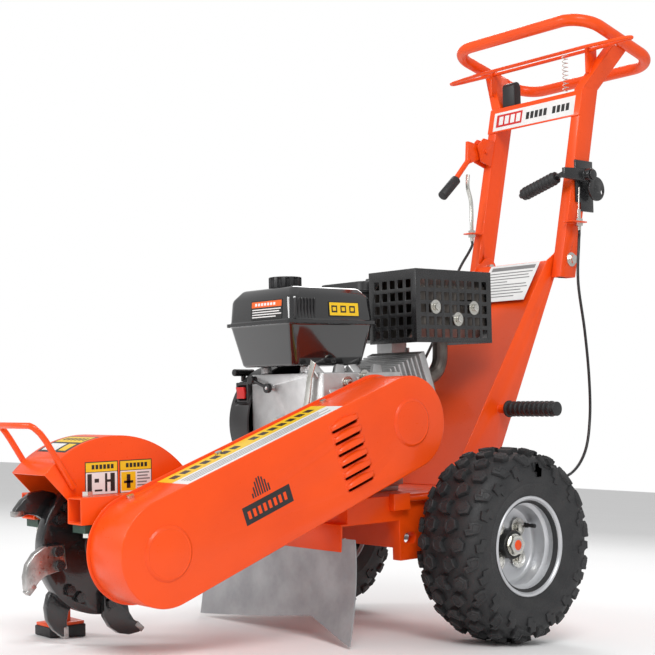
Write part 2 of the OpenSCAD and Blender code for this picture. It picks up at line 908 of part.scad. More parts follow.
module muffler_guard() {
  x = [cage_front, cage_front + cage_l];
  y = [cage_near, cage_near + cage_w];
  z = [cage_z, cage_z + cage_h];
  color(black) {
    difference() {
      bx(x, y, z);
      bx(x + [cage_t, -cage_t], y + [cage_t, 1], z + [-1, -cage_t]);
      for (i = [0 : 8], j = [0 : 4])
        bx([x[0] + 13 + 21.5 * i, x[0] + 27 + 21.5 * i], [y[0] - 1, y[0] + 4], [z[0] + 10 + 24 * j, z[0] + 26 + 24 * j]);
      for (i = [0 : 8])
        bx([x[0] + 13 + 21.5 * i, x[0] + 27 + 21.5 * i], y + [14, -14], [z[1] - 4, z[1] + 1]);
      for (i = [0 : 4], j = [0 : 4])
        bx([x[0] - 1, x[0] + 4], [y[0] + 14 + 22 * i, y[0] + 28 + 22 * i], [z[0] + 10 + 24 * j, z[0] + 26 + 24 * j]);
    }
    for (u = [x[0] + 52, x[1] - 52])
      cy(u, (z[0] + z[1]) / 2 - 2, y[0] + cage_t, muffler_y[0], 4);
  }
}

module exhaust_elbow()
  color([0.35, 0.33, 0.31]) {
    p0 = [(head_d + 4) * cos(bore_tilt) - crank_x, 0, crank_z + (head_d + 4) * sin(bore_tilt)];
    route = [[0, 0, 0], [14, 0, 5], [30, 0, 15], [40, 0, 32], [43, 0, 50], [43, 0, muffler_z[0] - p0[2]]];
    translate([p0[0], -port_y, p0[2]])
      cord(spline(route, 4), 15, 16);
    bore_frame()
      bx([head_d, head_d + 5], [-port_y - 19, -port_y + 19], [-22, 22]);
  }

// ---- Deflector ----

module flap_profile(t, drop)
  polygon([[0, 0], [t, 0], [t, -24], [t + 4, -70], [t - 4, -125], [t - 16, -drop], [-16, -drop], [-4, -125],
    [4, -70], [0, -24]]);

module chip_deflector()
  color([0.55, 0.56, 0.57])
    translate([flap_x + 2, 0, flap_z])
      xz(flap_near, flap_far)
        flap_profile(flap_t, flap_h);

module deflector_clamp()
  color(steel) {
    bx([flap_x + 2 + flap_t, flap_x + 6 + flap_t], [-rail_y, rail_y], [flap_z - 24, flap_z]);
    for (y = [-150, -50, 50, 150])
      translate([flap_x + 6 + flap_t, y, flap_z - 12])
        rotate([0, 90, 0])
          hexhead(8, 6);
  }

// ---- Handle ----

function up_x(z) = hinge_x - 34 + slope * (z - hinge_z + 26);

module upright2d(t)
  polygon([[up_x(upright_z) + t, upright_z - (t > 0 ? 1 : 0)], [up_x(upright_z) + upright_l - t, upright_z - (t > 0 ? 1 : 0)],
    [up_x(bend_z) + upright_l - t, bend_z], [up_x(bend_z) + t, bend_z]]);

module arm_form(t)
  hull() {
    bx([up_x(bend_z) + t, up_x(bend_z) + upright_l - t], [upright_in + t, upright_out - t], [bend_z, bend_z + 1]);
    bx([up_x(bend_z) + 40 + t, up_x(bend_z) + 92 - t], [bar_y - 30 + t, bar_y - 5 - t], [bar_z - 45, bar_z - 44]);
  }

module bar_frame()
  translate([bar_x, 0, bar_z])
    rotate([0, bar_tilt, 0])
      children();

module handle_frame()
  color(orange) {
    both() {
      difference() {
        union() {
          xz(upright_in, upright_out)
            upright2d(0);
          arm_form(0);
        }
        xz(upright_in + tube_wall, upright_out - tube_wall)
          upright2d(tube_wall);
        arm_form(tube_wall);
        cy(hinge_x, hinge_z, 0, 200, 6);
        bar_frame()
          translate([0, bar_y, 0])
            rotate([0, 90, 0])
              cylinder(h = bar_l, r = bar_r);
      }
      difference() {
        bx([bail_x - 9, bail_x + 26], [134, 140], [bail_z - 50, bail_z + 9]);
        cy(bail_x, bail_z, 100, 160, bail_r + run);
      }
    }
    difference() {
      bx([near_stop[0] - 36, near_stop[0] + 12], [near_stop[1] - 13, -upright_out], [stop_z - 3, stop_z]);
      translate(near_stop - [0, 0, 5])
        cylinder(h = 10, r = stop_r);
    }
    difference() {
      bx([far_stop[0] - 16, up_x(stop_z) + 1], [upright_in, upright_out], [stop_z - 3, stop_z]);
      translate(far_stop - [0, 0, 5])
        cylinder(h = 10, r = stop_r);
    }
    xz(-upright_out, upright_out)
      polygon([[up_x(bend_z - 62) - 3, bend_z - 62], [up_x(bend_z - 62), bend_z - 62],
        [up_x(bend_z - 4), bend_z - 4], [up_x(bend_z - 4) - 3, bend_z - 4]]);
    bx([up_x(bend_z - 4) - 3, up_x(bend_z - 4) + 30], [-upright_in, upright_in], [bend_z - 7, bend_z - 4]);
  }

module tube(h)
  difference() {
    cylinder(h = h, r = bar_r);
    translate([0, 0, -1])
      cylinder(h = h + 2, r = bar_r - tube_wall);
  }

module handlebar()
  color(orange)
    bar_frame() {
      for (x = [0, bar_l])
        translate([x, bar_bend - bar_y, 0])
          rotate([-90, 0, 0])
            tube(2 * (bar_y - bar_bend));
      for (y = [-bar_y, bar_y])
        translate([bar_bend, y, 0])
          rotate([0, 90, 0])
            tube(bar_l - 2 * bar_bend);
      for (i = [0, 1], j = [0, 1])
        translate([i == 0 ? bar_bend : bar_l - bar_bend, (j == 0 ? -1 : 1) * (bar_y - bar_bend), 0])
          mirror([1 - i, 0, 0])
            mirror([0, 1 - j, 0])
              rotate_extrude(angle = 90)
                translate([bar_bend, 0])
                  difference() {
                    circle(bar_r);
                    circle(bar_r - tube_wall);
                  }
    }

module handle_bolts()
  color(steel)
    both() {
      cy(hinge_x, hinge_z, tower_y - tower_t, upright_out, 6);
      cy(hinge_x, hinge_z, upright_out, upright_out + 2, 15);
      translate([hinge_x, upright_out + 10, hinge_z])
        rotate([90, 0, 0])
          hexhead(10, 8);
      cy(hinge_x, hinge_z, tower_y, upright_in, 15);
      translate([hinge_x, tower_y - tower_t, hinge_z])
        rotate([90, 0, 0])
          hexhead(10, 9);
    }

module switch_box()
  color(black) {
    bx([up_x(bend_z) + 4, up_x(bend_z) + 27], [66, 102], [bend_z - 4, bend_z + 42]);
    cy(up_x(bend_z) + 15, bend_z + 42, 66, 102, 11);
  }

module side_grips()
  color(rubber)
    both()
      difference() {
        union() {
          cy(grip_x, grip_z, tower_y + stub_l, tower_y + stub_l + grip_l, 14);
          cy(grip_x, grip_z, tower_y + stub_l, tower_y + stub_l + 5, 17);
          for (i = [1 : 9])
            cy(grip_x, grip_z, tower_y + stub_l + 12 * i, tower_y + stub_l + 12 * i + 5, 15.5);
        }
        cy(grip_x, grip_z, tower_y, tower_y + stub_l + grip_l - 6, 9);
      }

// ---- Operator's controls ----

module bail() {
  half = [[bail_x, 148], [bail_x - 2, 190], [bail_x - 5, 246], [bail_x - 12, bail_end - bail_r],
    [bail_x - 19, 246], [bail_x - 26, 190], [bail_x - bail_w, 150], [bail_x - bail_w, 50]];
  route = concat([for (p = half) [p[0], p[1], bail_z]],
    [for (i = [len(half) - 1 : -1 : 0]) [half[i][0], -half[i][1], bail_z]]);
  color(orange) {
    cy(bail_x, bail_z, -150, 150, bail_r);
    cord(spline(route, 4), bail_r, 12, [0, 0, 1]);
  }
}

module bail_spring()
  color(steel)
    translate([bail_x - bail_w + 1, -96, 0])
      cord([for (i = [0 : 72]) [6 * cos(i * 45), 6 * sin(i * 45), bend_z - 4 + 1 + i * (bail_z - bail_r - 2.5 - bend_z + 4) / 72]],
        1, 6, [0, 0, 1]);

module brake_bracket()
  color(black)
    difference() {
      union() {
        bx([lever_x - 24, lever_x + 34], [-upright_out - 4, -upright_out], [lever_z - 76, lever_z + 34]);
        cy(lever_x, lever_z, -upright_out - 30, -upright_out - 4, 6);
        cy(lever_x, lever_z, -upright_out - 33, -upright_out - 30, 11);
      }
      translate([lever_x - 24, -upright_out - 5, lever_z - 77])
        cube([16, 6, 20]);
    }

module brake_lever()
  color(black)
    difference() {
      union() {
        cy(lever_x, lever_z, -upright_out - 29, -upright_out - 5, 14);
        xz(-upright_out - 16, -upright_out - 8)
          polygon([[lever_x, lever_z - 14], [lever_x, lever_z + 14], [lever_x - 75, lever_z + 11],
            [lever_x - 75, lever_z - 11]]);
        cy(lever_x + 22, lever_z - 28, -upright_out - 24, -upright_out - 18, 26);
        cy(lever_x + 22, lever_z - 28, -upright_out - 26, -upright_out - 16, 8);
        rod(lever_root, lever_tip, 6);
      }
      cy(lever_x, lever_z, -upright_out - 40, -upright_out, 6 + run);
      cy(lever_x + 40, lever_z - 34, -upright_out - 30, -upright_out - 10, 5);
    }

module brake_grip() {
  a = lever_root;
  b = lever_tip;
  color(rubber)
    difference() {
      union() {
        rod(a + 0.18 * (b - a), a + 0.93 * (b - a), 13);
        for (i = [0 : 8])
          rod(a + (0.24 + 0.075 * i) * (b - a), a + (0.27 + 0.075 * i) * (b - a), 14.5);
      }
      rod(a, a + 1.1 * (b - a), 6);
    }
}

module cable_adjusters()
  color(steel) {
    for (p = [near_stop, far_stop])
      translate(p) {
        translate([0, 0, -stop_l])
          cylinder(h = stop_l + 26, r = stop_r);
        hexhead(8, 6);
        translate([0, 0, -9])
          hexhead(8, 6);
      }
    rod(near_stop + [0, 0, 26], near_stop + [4, 0, 74], 1.6);
    cord(spline([far_stop + [0, 0, 26], far_stop + [0, 0, 70], far_stop + [-10, 0, 104], far_stop + [-8, 0, 132]], 6),
      4.5, 10);
  }

module brake_cable()
  color(black)
    cord(spline(brake_route, 6), cable_d / 2, 8, [1, 0.2, 0]);

module toggle_cable()
  color(black)
    cord(spline(toggle_route, 6), cable_d / 2, 8, [1, 0.2, 0]);

module toggle_bracket()
  color(orange) {
    for (y = [toggle_y - 4, toggle_y + 16])
      xz(y, y + 4)
        difference() {
          polygon([[toggle_x - 30, toggle_z - 24], [up_x(toggle_z - 34), toggle_z - 34],
            [up_x(toggle_z + 26), toggle_z + 26], [toggle_x - 20, toggle_z + 30], [toggle_x - 40, toggle_z + 10]]);
          translate([toggle_x - 16, toggle_z])
            circle(5);
        }
    cy(toggle_x - 16, toggle_z, toggle_y - 9, toggle_y + 24, 5);
  }

module toggle_lever()
  color(orange)
    difference() {
      union() {
        cy(toggle_x - 16, toggle_z, toggle_y + gap, toggle_y + 16 - gap, 13);
        xz(toggle_y + 4, toggle_y + 12)
          polygon([[toggle_x - 16, toggle_z + 13], [toggle_x - 64, toggle_z + 20], [toggle_x - 68, toggle_z - 34],
            [toggle_x - 12, toggle_z - 12]]);
        rod([toggle_x - 58, toggle_y + 8, toggle_z - 20], toggle_tip, 6);
      }
      cy(toggle_x - 16, toggle_z, 0, 200, 5 + run);
    }

module toggle_grip()
  color(rubber)
    difference() {
      rod(toggle_tip + [15, 0, 13.6], toggle_tip - [30, 0, 27.2], 11);
      rod(toggle_tip + [20, 0, 18.1], toggle_tip, 6);
    }

// ---- Stand ----

module stand_post()
  color(orange)
    difference() {
      union() {
        bx([stand_x - post / 2, stand_x + post / 2], [stand_y - post / 2, stand_y + post / 2],
          [foot_z + foot_h, arm_z + rail_s + 12]);
        bx([stand_x - 32, stand_x + 32], [stand_y - 24, stand_y + 24], [foot_z + foot_h, foot_z + foot_h + 5]);
      }
      bx([stand_x - post / 2 + tube_wall, stand_x + post / 2 - tube_wall],
        [stand_y - post / 2 + tube_wall, stand_y + post / 2 - tube_wall],
        [foot_z + foot_h + 5, arm_z + rail_s + 13]);
      for (i = [0 : 4])
        cy(stand_x, arm_z - 60 - 22 * i, stand_y - post, stand_y + post, 5);
    }

// The level of the floor under the leaning chassis, in the chassis's own frame.
function floor_z(x) = (-axle_z - x * sin(lean)) / cos(lean);

module stand_foot()
  color(rubber)
    xz(stand_y - foot_w / 2, stand_y + foot_w / 2)
      polygon([[stand_x - foot_l / 2, floor_z(stand_x - foot_l / 2)], [stand_x + foot_l / 2, floor_z(stand_x + foot_l / 2)],
        [stand_x + foot_l / 2, foot_z + foot_h], [stand_x - foot_l / 2, foot_z + foot_h]]);

module stand_screw()
  color(steel) {
    cy(stand_x, arm_z + 20, stand_y + post / 2 + run, stand_y + post / 2 + 26, 5);
    rod([stand_x - 24, stand_y + post / 2 + 30, arm_z + 20], [stand_x + 24, stand_y + post / 2 + 30, arm_z + 20], 5);
    cy(stand_x, arm_z + 20, stand_y + post / 2 + 24, stand_y + post / 2 + 34, 8);
  }

// ---- Wheels ----

// A wheel's own frame: z outwards along the axle.
module near_side()
  translate([0, -wheel_y, 0])
    rotate([90, 0, 0])
      children();

module far_side()
  mirror([0, 1, 0])
    near_side()
      children();

module rim() {
  lip = rim_d / 2;
  bead = lip - 13;
  difference() {
    rotate_extrude($fn = 96)
      polygon([[lip, lip_w], [lip, lip_w - 3], [bead, lip_w - 3], [bead, 34], [bead - 11, 24], [bead - 11, -24],
        [bead, -34], [bead, 3 - lip_w], [lip, 3 - lip_w], [lip, -lip_w], [bead - 3, -lip_w], [bead - 3, -36],
        [bead - 14, -26], [bead - 14, -2], [26, -2], [26, 2], [bead - 14, 2], [bead - 14, 26],
        [bead - 3, 36], [bead - 3, lip_w]]);
    wheel_bolts()
      cylinder(h = 20, r = bolt_r, center = true);
  }
  translate([bead - 2, 0, lip_w - 22])
    rotate([0, -30, 0])
      cylinder(h = 14, r = 3.5);
}

module wheel_bolts()
  for (a = [45 : 90 : 315])
    rotate([0, 0, a])
      translate([40, 0, 0])
        children();

module tyre() {
  bead = rim_d / 2 - 13;
  half = tyre_w / 2;
  carcass = axle_z - lug_h;
  difference() {
    union() {
      rotate_extrude($fn = 96)
        polygon([[bead, 57], [bead + 15, 58.5], [bead + 34, half - 5], [carcass - 30, half], [carcass - 8, half - 8],
          [carcass, half - 24], [carcass, 24 - half], [carcass - 8, 8 - half], [carcass - 30, -half],
          [bead + 34, 5 - half], [bead + 15, -58.5], [bead, -57]]);
      intersection() {
        for (i = [0 : 19])
          rotate([0, 0, 18 * i]) {
            for (s = [-1, 1])
              bx([carcass - 12, axle_z + 2], [-12, 12], s < 0 ? [2 - half, 32 - half] : [half - 32, half - 2]);
            rotate([0, 0, 9])
              bx([carcass - 2, axle_z + 2], [-14, 14], i % 2 == 0 ? [-2, 30] : [-30, 2]);
          }
        cylinder(h = tyre_w, r = axle_z, center = true, $fn = 96);
      }
    }
    rotate_extrude($fn = 96)
      polygon([[bead - 1, 48], [bead + 24, 52], [carcass - 30, half - 9], [carcass - 10, half - 22],
        [carcass - 10, 22 - half], [carcass - 30, 9 - half], [bead + 24, -52], [bead - 1, -48]]);
  }
}

module hub() {
  difference() {
    union() {
      translate([0, 0, -hub_in])
        cylinder(h = hub_in + hub_out, r = 25.9);
      translate([0, 0, -8])
        cylinder(h = 6, r = 52);
      translate([0, 0, caliper_y - wheel_y - brake_t / 2])
        cylinder(h = brake_t, r = brake_r);
      wheel_bolts() {
        translate([0, 0, -12])
          cylinder(h = 14, r = bolt_r);
        translate([0, 0, 2])
          hexhead(9, 8);
      }
    }
    cylinder(h = 400, r = axle_r + run, center = true);
  }
}

module near_rim()
  color(alloy)
    near_side()
      rim();

module far_rim()
  color(alloy)
    far_side()
      rim();

module near_tyre()
  color(rubber)
    near_side()
      tyre();

module far_tyre()
  color(rubber)
    far_side()
      tyre();

module near_hub()
  color(steel)
    near_side()
      hub();

module far_hub()
  color(steel)
    far_side()
      hub();

// ---- Engine controls ----

module recoil_handle()
  color(black) {
    translate([pull_x, pull_y, pull_z + gap])
      cylinder(h = 14, r = 5);
    rod([pull_x - 24, pull_y, pull_z + 18], [pull_x + 24, pull_y, pull_z + 18], 7);
  }

module throttle_lever()
  color(black)
    difference() {
      union() {
        rod([-case_front - 17, throttle_y, throttle_z], [-case_front - 9, throttle_y, throttle_z], 9);
        rod([-case_front - 13, throttle_y, throttle_z], [-case_front - 13, throttle_y + 46, throttle_z + 16], 3);
        rod([-case_front - 20, throttle_y + 46, throttle_z + 16], [-case_front - 6, throttle_y + 46, throttle_z + 16],
          8);
      }
      rod([-case_front + 10, throttle_y, throttle_z], [-case_front - 30, throttle_y, throttle_z], 4 + run);
    }

module engine_switch()
  color([0.8, 0.05, 0.04]) {
    xz(switch_y[0] + 8, switch_y[1] - 8)
      translate([-case_front - 6, switch_z])
        polygon([[1, -11], [1, 11], [-6, 11], [-3, 0], [-4, -11]]);
    cy(-case_front - 6, switch_z, switch_y[0] + 8, switch_y[1] - 8, 2.5);
  }

// ---- The part ----

// Where a point of the level chassis comes to along X once it leans.
function lean_x(x, z) = x * cos(lean) - z * sin(lean);
front_end = lean_x(-cutter_x - 150, cutter_z + 196) - lift_d / 2;
rear_end = lean_x(bar_x + bar_l * cos(bar_tilt), bar_z - bar_l * sin(bar_tilt)) + bar_r;

// Leans a piece onto the stand, lifts it onto the tyres and centres the machine on the origin.
module place()
  translate([-(front_end + rear_end) / 2, 0, axle_z])
    rotate([0, -lean, 0])
      children();

place()
    main_frame();
place()
    rear_tower();
place()
    fixed_axle();
place()
    axle_nuts();
place()
    brake_calipers();
place()
    cutter_bearings();
place()
    frame_bolts();
place()
    cutter_hood();
place()
    guard_back_plate();
place()
    belt_guard();
place()
    guard_screws();
place()
    crankcase();
place()
    cylinder_head();
place()
    blower_housing();
place()
    fuel_tank();
place()
    air_cleaner();
place()
    carburettor();
place()
    muffler();
place()
    muffler_guard();
place()
    exhaust_elbow();
place()
    chip_deflector();
place()
    deflector_clamp();
place()
    handle_frame();
place()
    handlebar();
place()
    handle_bolts();
place()
    switch_box();
place()
    brake_bracket();
place()
    cable_adjusters();
place()
    brake_cable();
place()
    toggle_bracket();
place()
    toggle_cable();
place()
    side_grips();
place()
    drive_belts();
place()
    belt_tensioner();
place()
    stand_screw();
place()
    stand_post();
place()
    stand_foot();
place()
    near_rim();
place()
    near_tyre();
place()
    near_hub();
place()
    far_rim();
place()
    far_tyre();
place()
    far_hub();
place()
    cutter_shaft();
place()
    cutter_wheel();
place()
    cutter_teeth();
place()
    tooth_bolts();
place()
    cutter_pulley();
place()
    crankshaft();
place()
    clutch_pulley();
place()
    bail();
place()
    bail_spring();
place()
    brake_lever();
place()
    brake_grip();
place()
    toggle_lever();
place()
    toggle_grip();
place()
    recoil_handle();
place()
    fuel_cap();
place()
    throttle_lever();
place()
    engine_switch();
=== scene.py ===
import json
from math import atan2, cos, degrees, hypot, pi, radians, sin

import bpy
from mathutils import Matrix, Vector


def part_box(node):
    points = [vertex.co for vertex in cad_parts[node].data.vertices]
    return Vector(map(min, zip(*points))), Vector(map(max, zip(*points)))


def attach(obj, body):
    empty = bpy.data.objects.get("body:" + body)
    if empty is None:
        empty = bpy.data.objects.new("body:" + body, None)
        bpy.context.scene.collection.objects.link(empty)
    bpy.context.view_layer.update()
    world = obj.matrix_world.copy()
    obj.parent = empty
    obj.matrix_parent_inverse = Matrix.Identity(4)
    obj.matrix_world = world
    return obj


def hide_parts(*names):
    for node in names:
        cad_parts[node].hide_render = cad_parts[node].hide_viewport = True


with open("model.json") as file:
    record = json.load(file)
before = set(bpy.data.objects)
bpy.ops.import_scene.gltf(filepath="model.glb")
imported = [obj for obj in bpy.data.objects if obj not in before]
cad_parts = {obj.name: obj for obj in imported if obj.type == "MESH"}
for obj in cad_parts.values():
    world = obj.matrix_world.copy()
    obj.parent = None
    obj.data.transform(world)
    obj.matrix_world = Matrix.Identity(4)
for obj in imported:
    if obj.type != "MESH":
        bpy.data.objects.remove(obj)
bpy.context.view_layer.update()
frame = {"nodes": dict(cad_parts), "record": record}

# ---- Chassis ----
# Two box rails, a cross member, a deck plate and the two arms that carry the cutter.
# They are mild steel, welded into one frame and powder coated orange.


def middle(node):
    """The middle of a CAD node's box, in metres."""
    low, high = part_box(node)
    return (Vector(low) + Vector(high)) / 2


cutter_x, cutter_z = -712, 47  # the cutter's shaft, in millimetres from the axle with the chassis level
axle = middle("fixed_axle")
cutter_way = middle("cutter_shaft") - axle
lean = atan2(-cutter_way.z, -cutter_way.x) + atan2(cutter_z, -cutter_x)
machine = Matrix.Translation(axle) @ Matrix.Rotation(-lean, 4, "Y") @ Matrix.Scale(0.001, 4)
node_body = {node: body for body, nodes in frame["record"]["behaviour"]["bodies"].items() for node in nodes}


def at(x, y, z):
    """A place given in millimetres from the axle, in the leaning chassis's own directions."""
    return machine @ Vector((x, y, z))


def finish(name, tone, worn, rough, metal=0.0, coat=0.0, patch=9.0, grain=420.0, relief=0.12,
           stretch=(1, 1, 1)):
    """A surface of two close tones, mottled in patches, with a fine grain in its gloss and relief."""
    stuff = bpy.data.materials.new(name)
    stuff.use_nodes = True
    nodes, links = stuff.node_tree.nodes, stuff.node_tree.links
    skin = nodes["Principled BSDF"]
    place = nodes.new("ShaderNodeTexCoord")
    turn = nodes.new("ShaderNodeMapping")
    turn.inputs["Scale"].default_value = stretch
    links.new(place.outputs["Object"], turn.inputs["Vector"])
    clouds = nodes.new("ShaderNodeTexNoise")
    clouds.inputs["Scale"].default_value = patch
    clouds.inputs["Detail"].default_value = 6
    specks = nodes.new("ShaderNodeTexNoise")
    specks.inputs["Scale"].default_value = grain
    specks.inputs["Detail"].default_value = 3
    for texture in (clouds, specks):
        links.new(turn.outputs["Vector"], texture.inputs["Vector"])
    tones = nodes.new("ShaderNodeMapRange")
    tones.inputs["From Min"].default_value = 0.38
    tones.inputs["From Max"].default_value = 0.66
    links.new(clouds.outputs["Fac"], tones.inputs["Value"])
    mix = nodes.new("ShaderNodeMix")
    mix.data_type = "RGBA"
    mix.inputs["A"].default_value = (*tone, 1)
    mix.inputs["B"].default_value = (*worn, 1)
    links.new(tones.outputs["Result"], mix.inputs["Factor"])
    links.new(mix.outputs["Result"], skin.inputs["Base Color"])
    gloss = nodes.new("ShaderNodeMapRange")
    gloss.inputs["From Min"].default_value = 0.3
    gloss.inputs["From Max"].default_value = 0.7
    gloss.inputs["To Min"].default_value = rough * 0.8
    gloss.inputs["To Max"].default_value = min(1, rough * 1.25)
    links.new(specks.outputs["Fac"], gloss.inputs["Value"])
    links.new(gloss.outputs["Result"], skin.inputs["Roughness"])
    skin.inputs["Metallic"].default_value = metal
    skin.inputs["Coat Weight"].default_value = coat
    skin.inputs["Coat Roughness"].default_value = 0.08
    bump = nodes.new("ShaderNodeBump")
    bump.inputs["Strength"].default_value = relief
    bump.inputs["Distance"].default_value = 0.0006
    links.new(specks.outputs["Fac"], bump.inputs["Height"])
    links.new(bump.outputs["Normal"], skin.inputs["Normal"])
    return stuff


orange_coat = finish("orange_powder_coat", (0.88, 0.078, 0.003), (0.8, 0.066, 0.003), 0.34, coat=0.15,
                     patch=5, grain=260, relief=0.05)
orange_coat.node_tree.nodes["Principled BSDF"].inputs["Specular IOR Level"].default_value = 0.3


def dress(piece, stuff, body, *nodes, smooth=40):
    """Gives a finished piece its surface and its body, and lets it stand for CAD nodes."""
    bpy.ops.object.select_all(action="DESELECT")
    bpy.context.view_layer.objects.active = piece
    piece.select_set(True)
    bpy.ops.object.shade_smooth_by_angle(angle=radians(smooth))
    if not piece.data.materials:
        piece.data.materials.append(stuff)
    if nodes:
        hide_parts(*nodes)
    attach(piece, body)
    return piece


def rounded(node, stuff, edge, steps=2):
    """A CAD node's shape with its sharp edges broken, as sanding and paint leave them."""
    mesh = frame["nodes"][node].data.copy()
    mesh.materials.clear()
    piece = bpy.data.objects.new(node + "_finished", mesh)
    bpy.context.scene.collection.objects.link(piece)
    bpy.ops.object.select_all(action="DESELECT")
    bpy.context.view_layer.objects.active = piece
    piece.select_set(True)
    bpy.ops.object.mode_set(mode="EDIT")
    bpy.ops.mesh.select_all(action="SELECT")
    bpy.ops.mesh.remove_doubles(threshold=0.00001)
    bpy.ops.mesh.dissolve_limited(angle_limit=radians(0.5))
    bpy.ops.object.mode_set(mode="OBJECT")
    bevel = piece.modifiers.new("edges", "BEVEL")
    bevel.width = edge / 1000
    bevel.segments = steps
    bevel.angle_limit = radians(38)
    bevel.use_clamp_overlap = False
    bpy.ops.object.modifier_apply(modifier="edges")
    return dress(piece, stuff, node_body[node], node)


def coat_node(stuff, *nodes):
    """A CAD node that keeps its own shape takes its real surface."""
    for node in nodes:
        mesh = frame["nodes"][node].data
        mesh.materials.clear()
        mesh.materials.append(stuff)


rounded("main_frame", orange_coat, 1.2)

# ---- Axle ----
# A fixed 25 mm steel axle through both rails, its ends dipped in paint, with zinc washers and nuts
# outside the wheels and a calliper bracket on each rail.
bright_steel = finish("turned_steel", (0.56, 0.56, 0.57), (0.45, 0.45, 0.46), 0.26, metal=1, patch=40,
                      stretch=(1, 6, 1))
zinc = finish("zinc_plate", (0.72, 0.71, 0.67), (0.6, 0.59, 0.54), 0.24, metal=1, patch=60, grain=700)
black_coat = finish("black_coat", (0.012, 0.012, 0.013), (0.02, 0.02, 0.021), 0.28, coat=0.3, patch=14,
                    relief=0.1)
coat_node(bright_steel, "fixed_axle")
coat_node(zinc, "axle_nuts")
coat_node(black_coat, "brake_calipers")


def turned(name, outline, centre, steps=96):
    """A ring turned about an axis along Y. Its closed outline is (radius, across) in millimetres."""
    bpy.ops.object.select_all(action="DESELECT")
    bpy.ops.mesh.primitive_circle_add(vertices=len(outline), fill_type="NOTHING")
    ring = bpy.context.object
    ring.name = name
    for corner, (radius, across) in zip(ring.data.vertices, outline):
        corner.co = Vector((radius, across, 0)) / 1000
    bpy.ops.object.mode_set(mode="EDIT")
    bpy.ops.mesh.select_all(action="SELECT")
    bpy.ops.mesh.spin(steps=steps, angle=2 * pi, center=(0, 0, 0), axis=(0, 1, 0))
    bpy.ops.mesh.select_all(action="SELECT")
    bpy.ops.mesh.remove_doubles(threshold=0.000001)
    bpy.ops.mesh.normals_make_consistent(inside=False)
    bpy.ops.object.mode_set(mode="OBJECT")
    ring.data.transform(Matrix.Translation(centre))
    return ring


def mirrored(piece, side):
    """Turns a piece drawn for the far side into the near side's own."""
    if side < 0:
        piece.data.transform(Matrix.Scale(-1, 4, Vector((0, 1, 0))))
        piece.data.flip_normals()


def fresh():
    """The primitive just added, alone and ready to be shaped."""
    bpy.ops.object.mode_set(mode="EDIT")
    bpy.ops.mesh.select_all(action="SELECT")
    return bpy.context.object


def shaped(piece, bevel, steps=2):
    """Breaks a drawn piece's sharp edges and leaves edit mode."""
    bpy.ops.object.mode_set(mode="OBJECT")
    edges = piece.modifiers.new("edges", "BEVEL")
    edges.width = bevel
    edges.segments = steps
    edges.angle_limit = radians(35)
    bpy.ops.object.modifier_apply(modifier="edges")
    return piece


def stood(place, way):
    """The matrix that sets a piece drawn about +Z at a place in millimetres, facing a way."""
    turn = Vector(way).to_track_quat("Z", "Y").to_matrix().to_4x4()
    return machine @ Matrix.Translation(Vector(place)) @ turn


def set_out(piece, spots):
    """Copies of a drawn piece, each with its own mesh, one at each matrix, joined."""
    bpy.ops.object.select_all(action="DESELECT")
    for spot in spots[1:]:
        copy = piece.copy()
        copy.data = piece.data.copy()
        bpy.context.scene.collection.objects.link(copy)
        copy.data.transform(spot)
        copy.select_set(True)
    piece.data.transform(spots[0])
    piece.select_set(True)
    bpy.context.view_layer.objects.active = piece
    if len(spots) > 1:
        bpy.ops.object.join()
    return piece


def screw_head(name, across, tall):
    """A chamfered hexagon head on a plain washer, drawn about +Z in millimetres."""
    washer_t = 1.6
    corner_r = across * 0.577
    bpy.ops.object.select_all(action="DESELECT")
    bpy.ops.mesh.primitive_cylinder_add(vertices=32, radius=across * 1.05, depth=washer_t,
                                        location=(0, 0, washer_t / 2))
    washer = bpy.context.object
    washer.data.transform(washer.matrix_world)
    washer.matrix_world = Matrix()
    bpy.ops.mesh.primitive_cylinder_add(vertices=6, radius=corner_r, depth=tall,
                                        location=(0, 0, washer_t + tall / 2))
    head = fresh()
    head.name = name
    bpy.ops.mesh.bevel(offset=across * 0.06, segments=2)
    bpy.ops.object.mode_set(mode="OBJECT")
    head.data.transform(head.matrix_world)
    head.matrix_world = Matrix()
    washer.select_set(True)
    bpy.ops.object.join()
    return head


axle_end = 289.2
for side, name in ((-1, "near"), (1, "far")):
    cap = turned(name + "_axle_end", [(0, 0), (12.7, 0), (12.7, 4), (11.8, 6), (9, 8), (0, 8)], Vector(), 40)
    mirrored(cap, side)
    cap.data.transform(Matrix.Translation(at(0, side * axle_end, 0)))
    dress(cap, orange_coat, "chassis")

# ---- Wheels ----
# A pressed steel rim, painted silver, with a four-bolt disc, and a knobbly low-pressure tyre
# on it. The tyre's blocks are moulded with the casing in one piece.
silver_coat = finish("silver_wheel_paint", (0.62, 0.63, 0.65), (0.54, 0.55, 0.57), 0.36, metal=0.55, coat=0.2,
                     patch=16, grain=600, relief=0.1)
tyre_rubber = finish("tyre_rubber", (0.017, 0.0175, 0.019), (0.026, 0.026, 0.027), 0.6, patch=30, grain=500,
                     relief=0.35)
black_iron = finish("black_iron", (0.02, 0.02, 0.021), (0.035, 0.034, 0.033), 0.45, metal=0.3, patch=40,
                    relief=0.4)
dark_rubber = finish("moulded_rubber", (0.016, 0.016, 0.017), (0.024, 0.024, 0.025), 0.55, patch=40,
                     grain=650, relief=0.3)
black_plastic = finish("black_plastic", (0.014, 0.014, 0.015), (0.02, 0.02, 0.021), 0.42, patch=20, grain=800,
                       relief=0.25)

